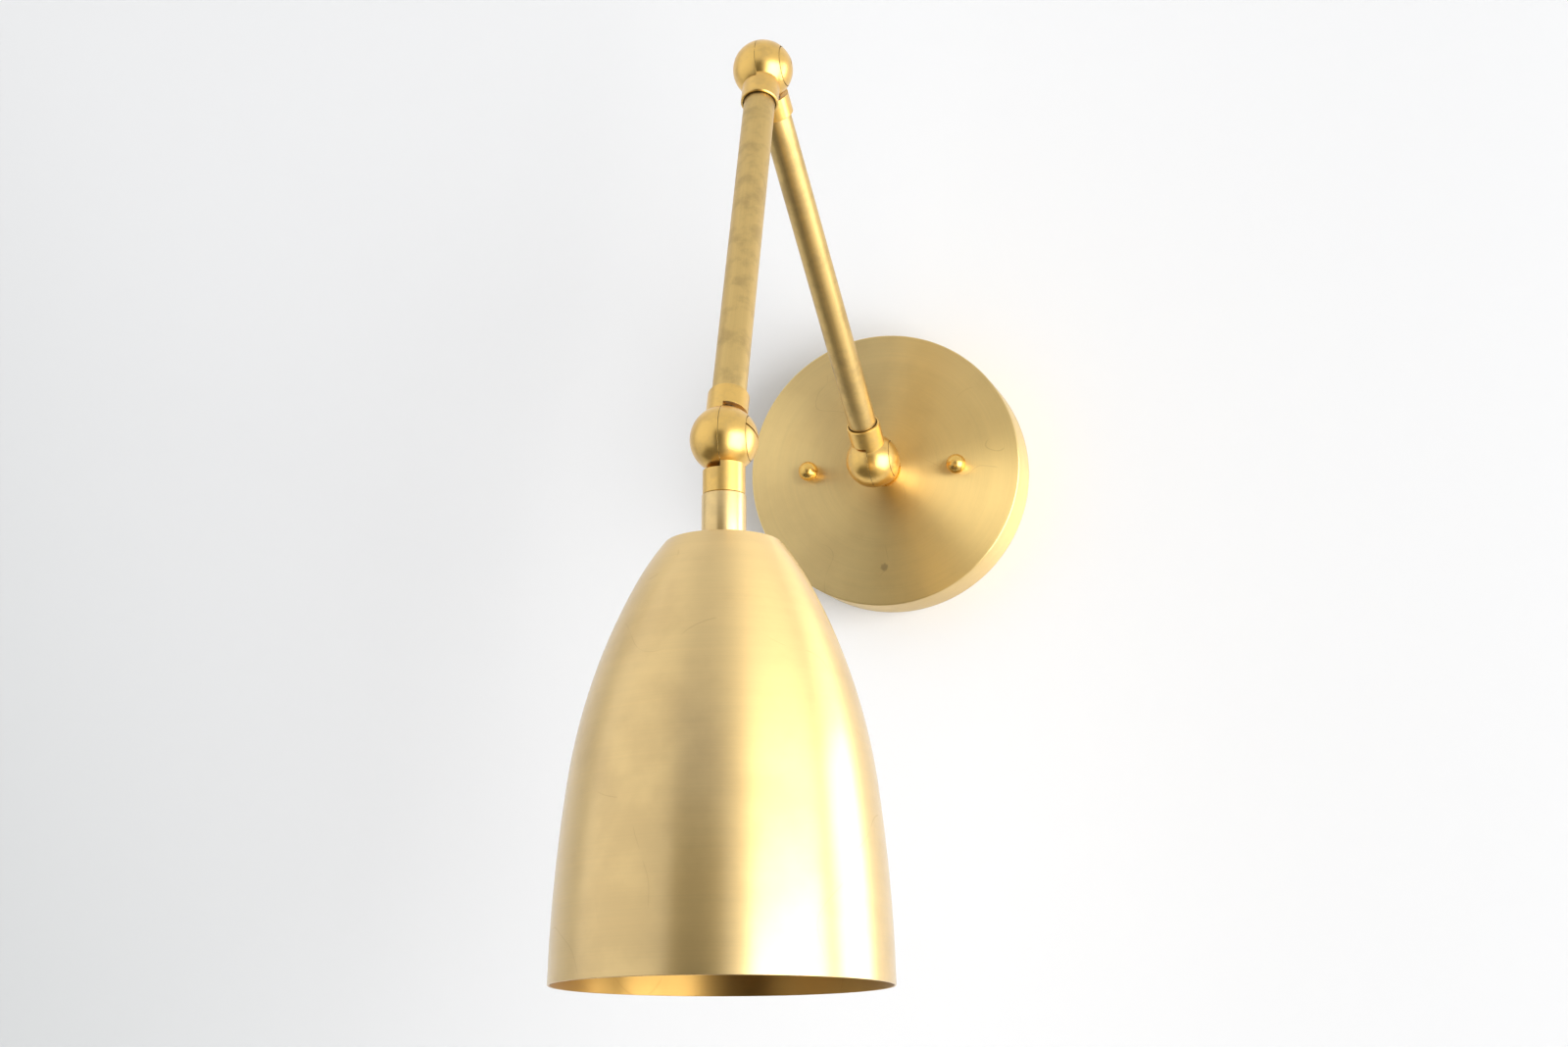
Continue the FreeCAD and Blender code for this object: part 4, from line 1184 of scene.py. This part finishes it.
    def _floor_paint(self) -> bpy.types.Material:
        """Pale floor, which the brass shows darker than it is, as a painted reflection with painted window light
        near the window.
        """
        made, graph = new_material("floor_paint")
        across = graph.part_of(graph.node("ShaderNodeTexCoord", None, None, "Object"), 0)
        # the reflected floor is painted darker, and lighter near the window where painted window light falls
        tone = graph.blend(across.band(*self.floor_window_light_band), *self.floor_reflection_tones)
        glossy = graph.node("ShaderNodeLightPath", None, None, "Is Glossy Ray")
        graph.surface(graph.node("ShaderNodeMixShader", None, {
            0: glossy, 1: self._matt(graph, self.floor_tone), 2: self._matt(graph, tone)}))
        return made

    def _room(self) -> None:
        """Light from the room: even, with a brighter ceiling and left side."""
        world = bpy.data.worlds.new("room")
        bpy.context.scene.world = world
        world.use_nodes = True
        graph = Graph(world.node_tree)
        way = graph.node("ShaderNodeTexCoord", None, None, "Generated")
        up, right = graph.part_of(way, 2), graph.part_of(way, 0)
        level = up.band(*self.ceiling_band) * self.room_ceiling
        level = level + right.band(*self.left_band) * self.room_left + self.room_level
        light = graph.node("ShaderNodeBackground", None, {"Color": self.room_tone, "Strength": level})
        graph.node("ShaderNodeOutputWorld", None, {"Surface": light})

    def _dark_card(self) -> None:
        """Dark card behind the camera, which brushed metal shows as a soft dark band."""
        half, (low, high), front = self.card_half, self.card_heights, -self.card_distance
        made, graph = new_material("dark_cloth")
        graph.surface(self._matt(graph, self.card_tone))
        card = self._sheet("dark_card", [(half, front, low), (-half, front, low),
                                         (-half, front, high), (half, front, high)], made)
        card.visible_camera = False
        card.visible_shadow = False

    def _camera(self) -> None:
        """The camera."""
        data = bpy.data.cameras.new("camera")
        data.sensor_width = self.sensor
        data.lens = self.focal_pixels * self.sensor / self.picture_width
        data.clip_start = self.camera_near
        camera = bpy.data.objects.new("camera", data)
        camera.location = self.camera_place
        camera.rotation_euler = (math.radians(90.0 + self.camera_rise), 0.0, math.radians(self.camera_turn))
        bpy.context.scene.collection.objects.link(camera)
        bpy.context.scene.camera = camera

    def build(self) -> None:
        """Build the studio."""
        bpy.context.scene.view_settings.view_transform = "Standard"
        half, low, gap = self.room_half, self.floor_height, self.wall_gap
        right, top = self.wall_right, self.wall_top
        self._sheet("wall", [(-half, gap, low), (right, gap, low), (right, gap, top), (-half, gap, top)],
                    self._wall_paint())
        self._sheet("floor", [(-half, -half, low), (half, -half, low), (half, half, low), (-half, half, low)],
                    self._floor_paint())
        self._room()
        self._dark_card()
        for window in self.windows:
            window.build(Vector(self.lit_place))
        self._camera()
        LOG.info("studio: wall, floor, card, room light, %d windows and camera", len(self.windows))


# ---------------- whole lamp


def main() -> None:
    """Build the lamp and its studio in order."""
    logging.basicConfig(level=logging.INFO, format="%(name)s: %(message)s")
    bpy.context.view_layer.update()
    layout = Layout()
    WallMount().build(layout)
    Arm("lower_arm", layout.lower_arm()).build()
    Arm("upper_arm", layout.upper_arm()).build()
    dress_swivels()
    ShadeHead(layout.shade_head()).build()
    Studio().build()


if __name__ == "__main__":
    main()
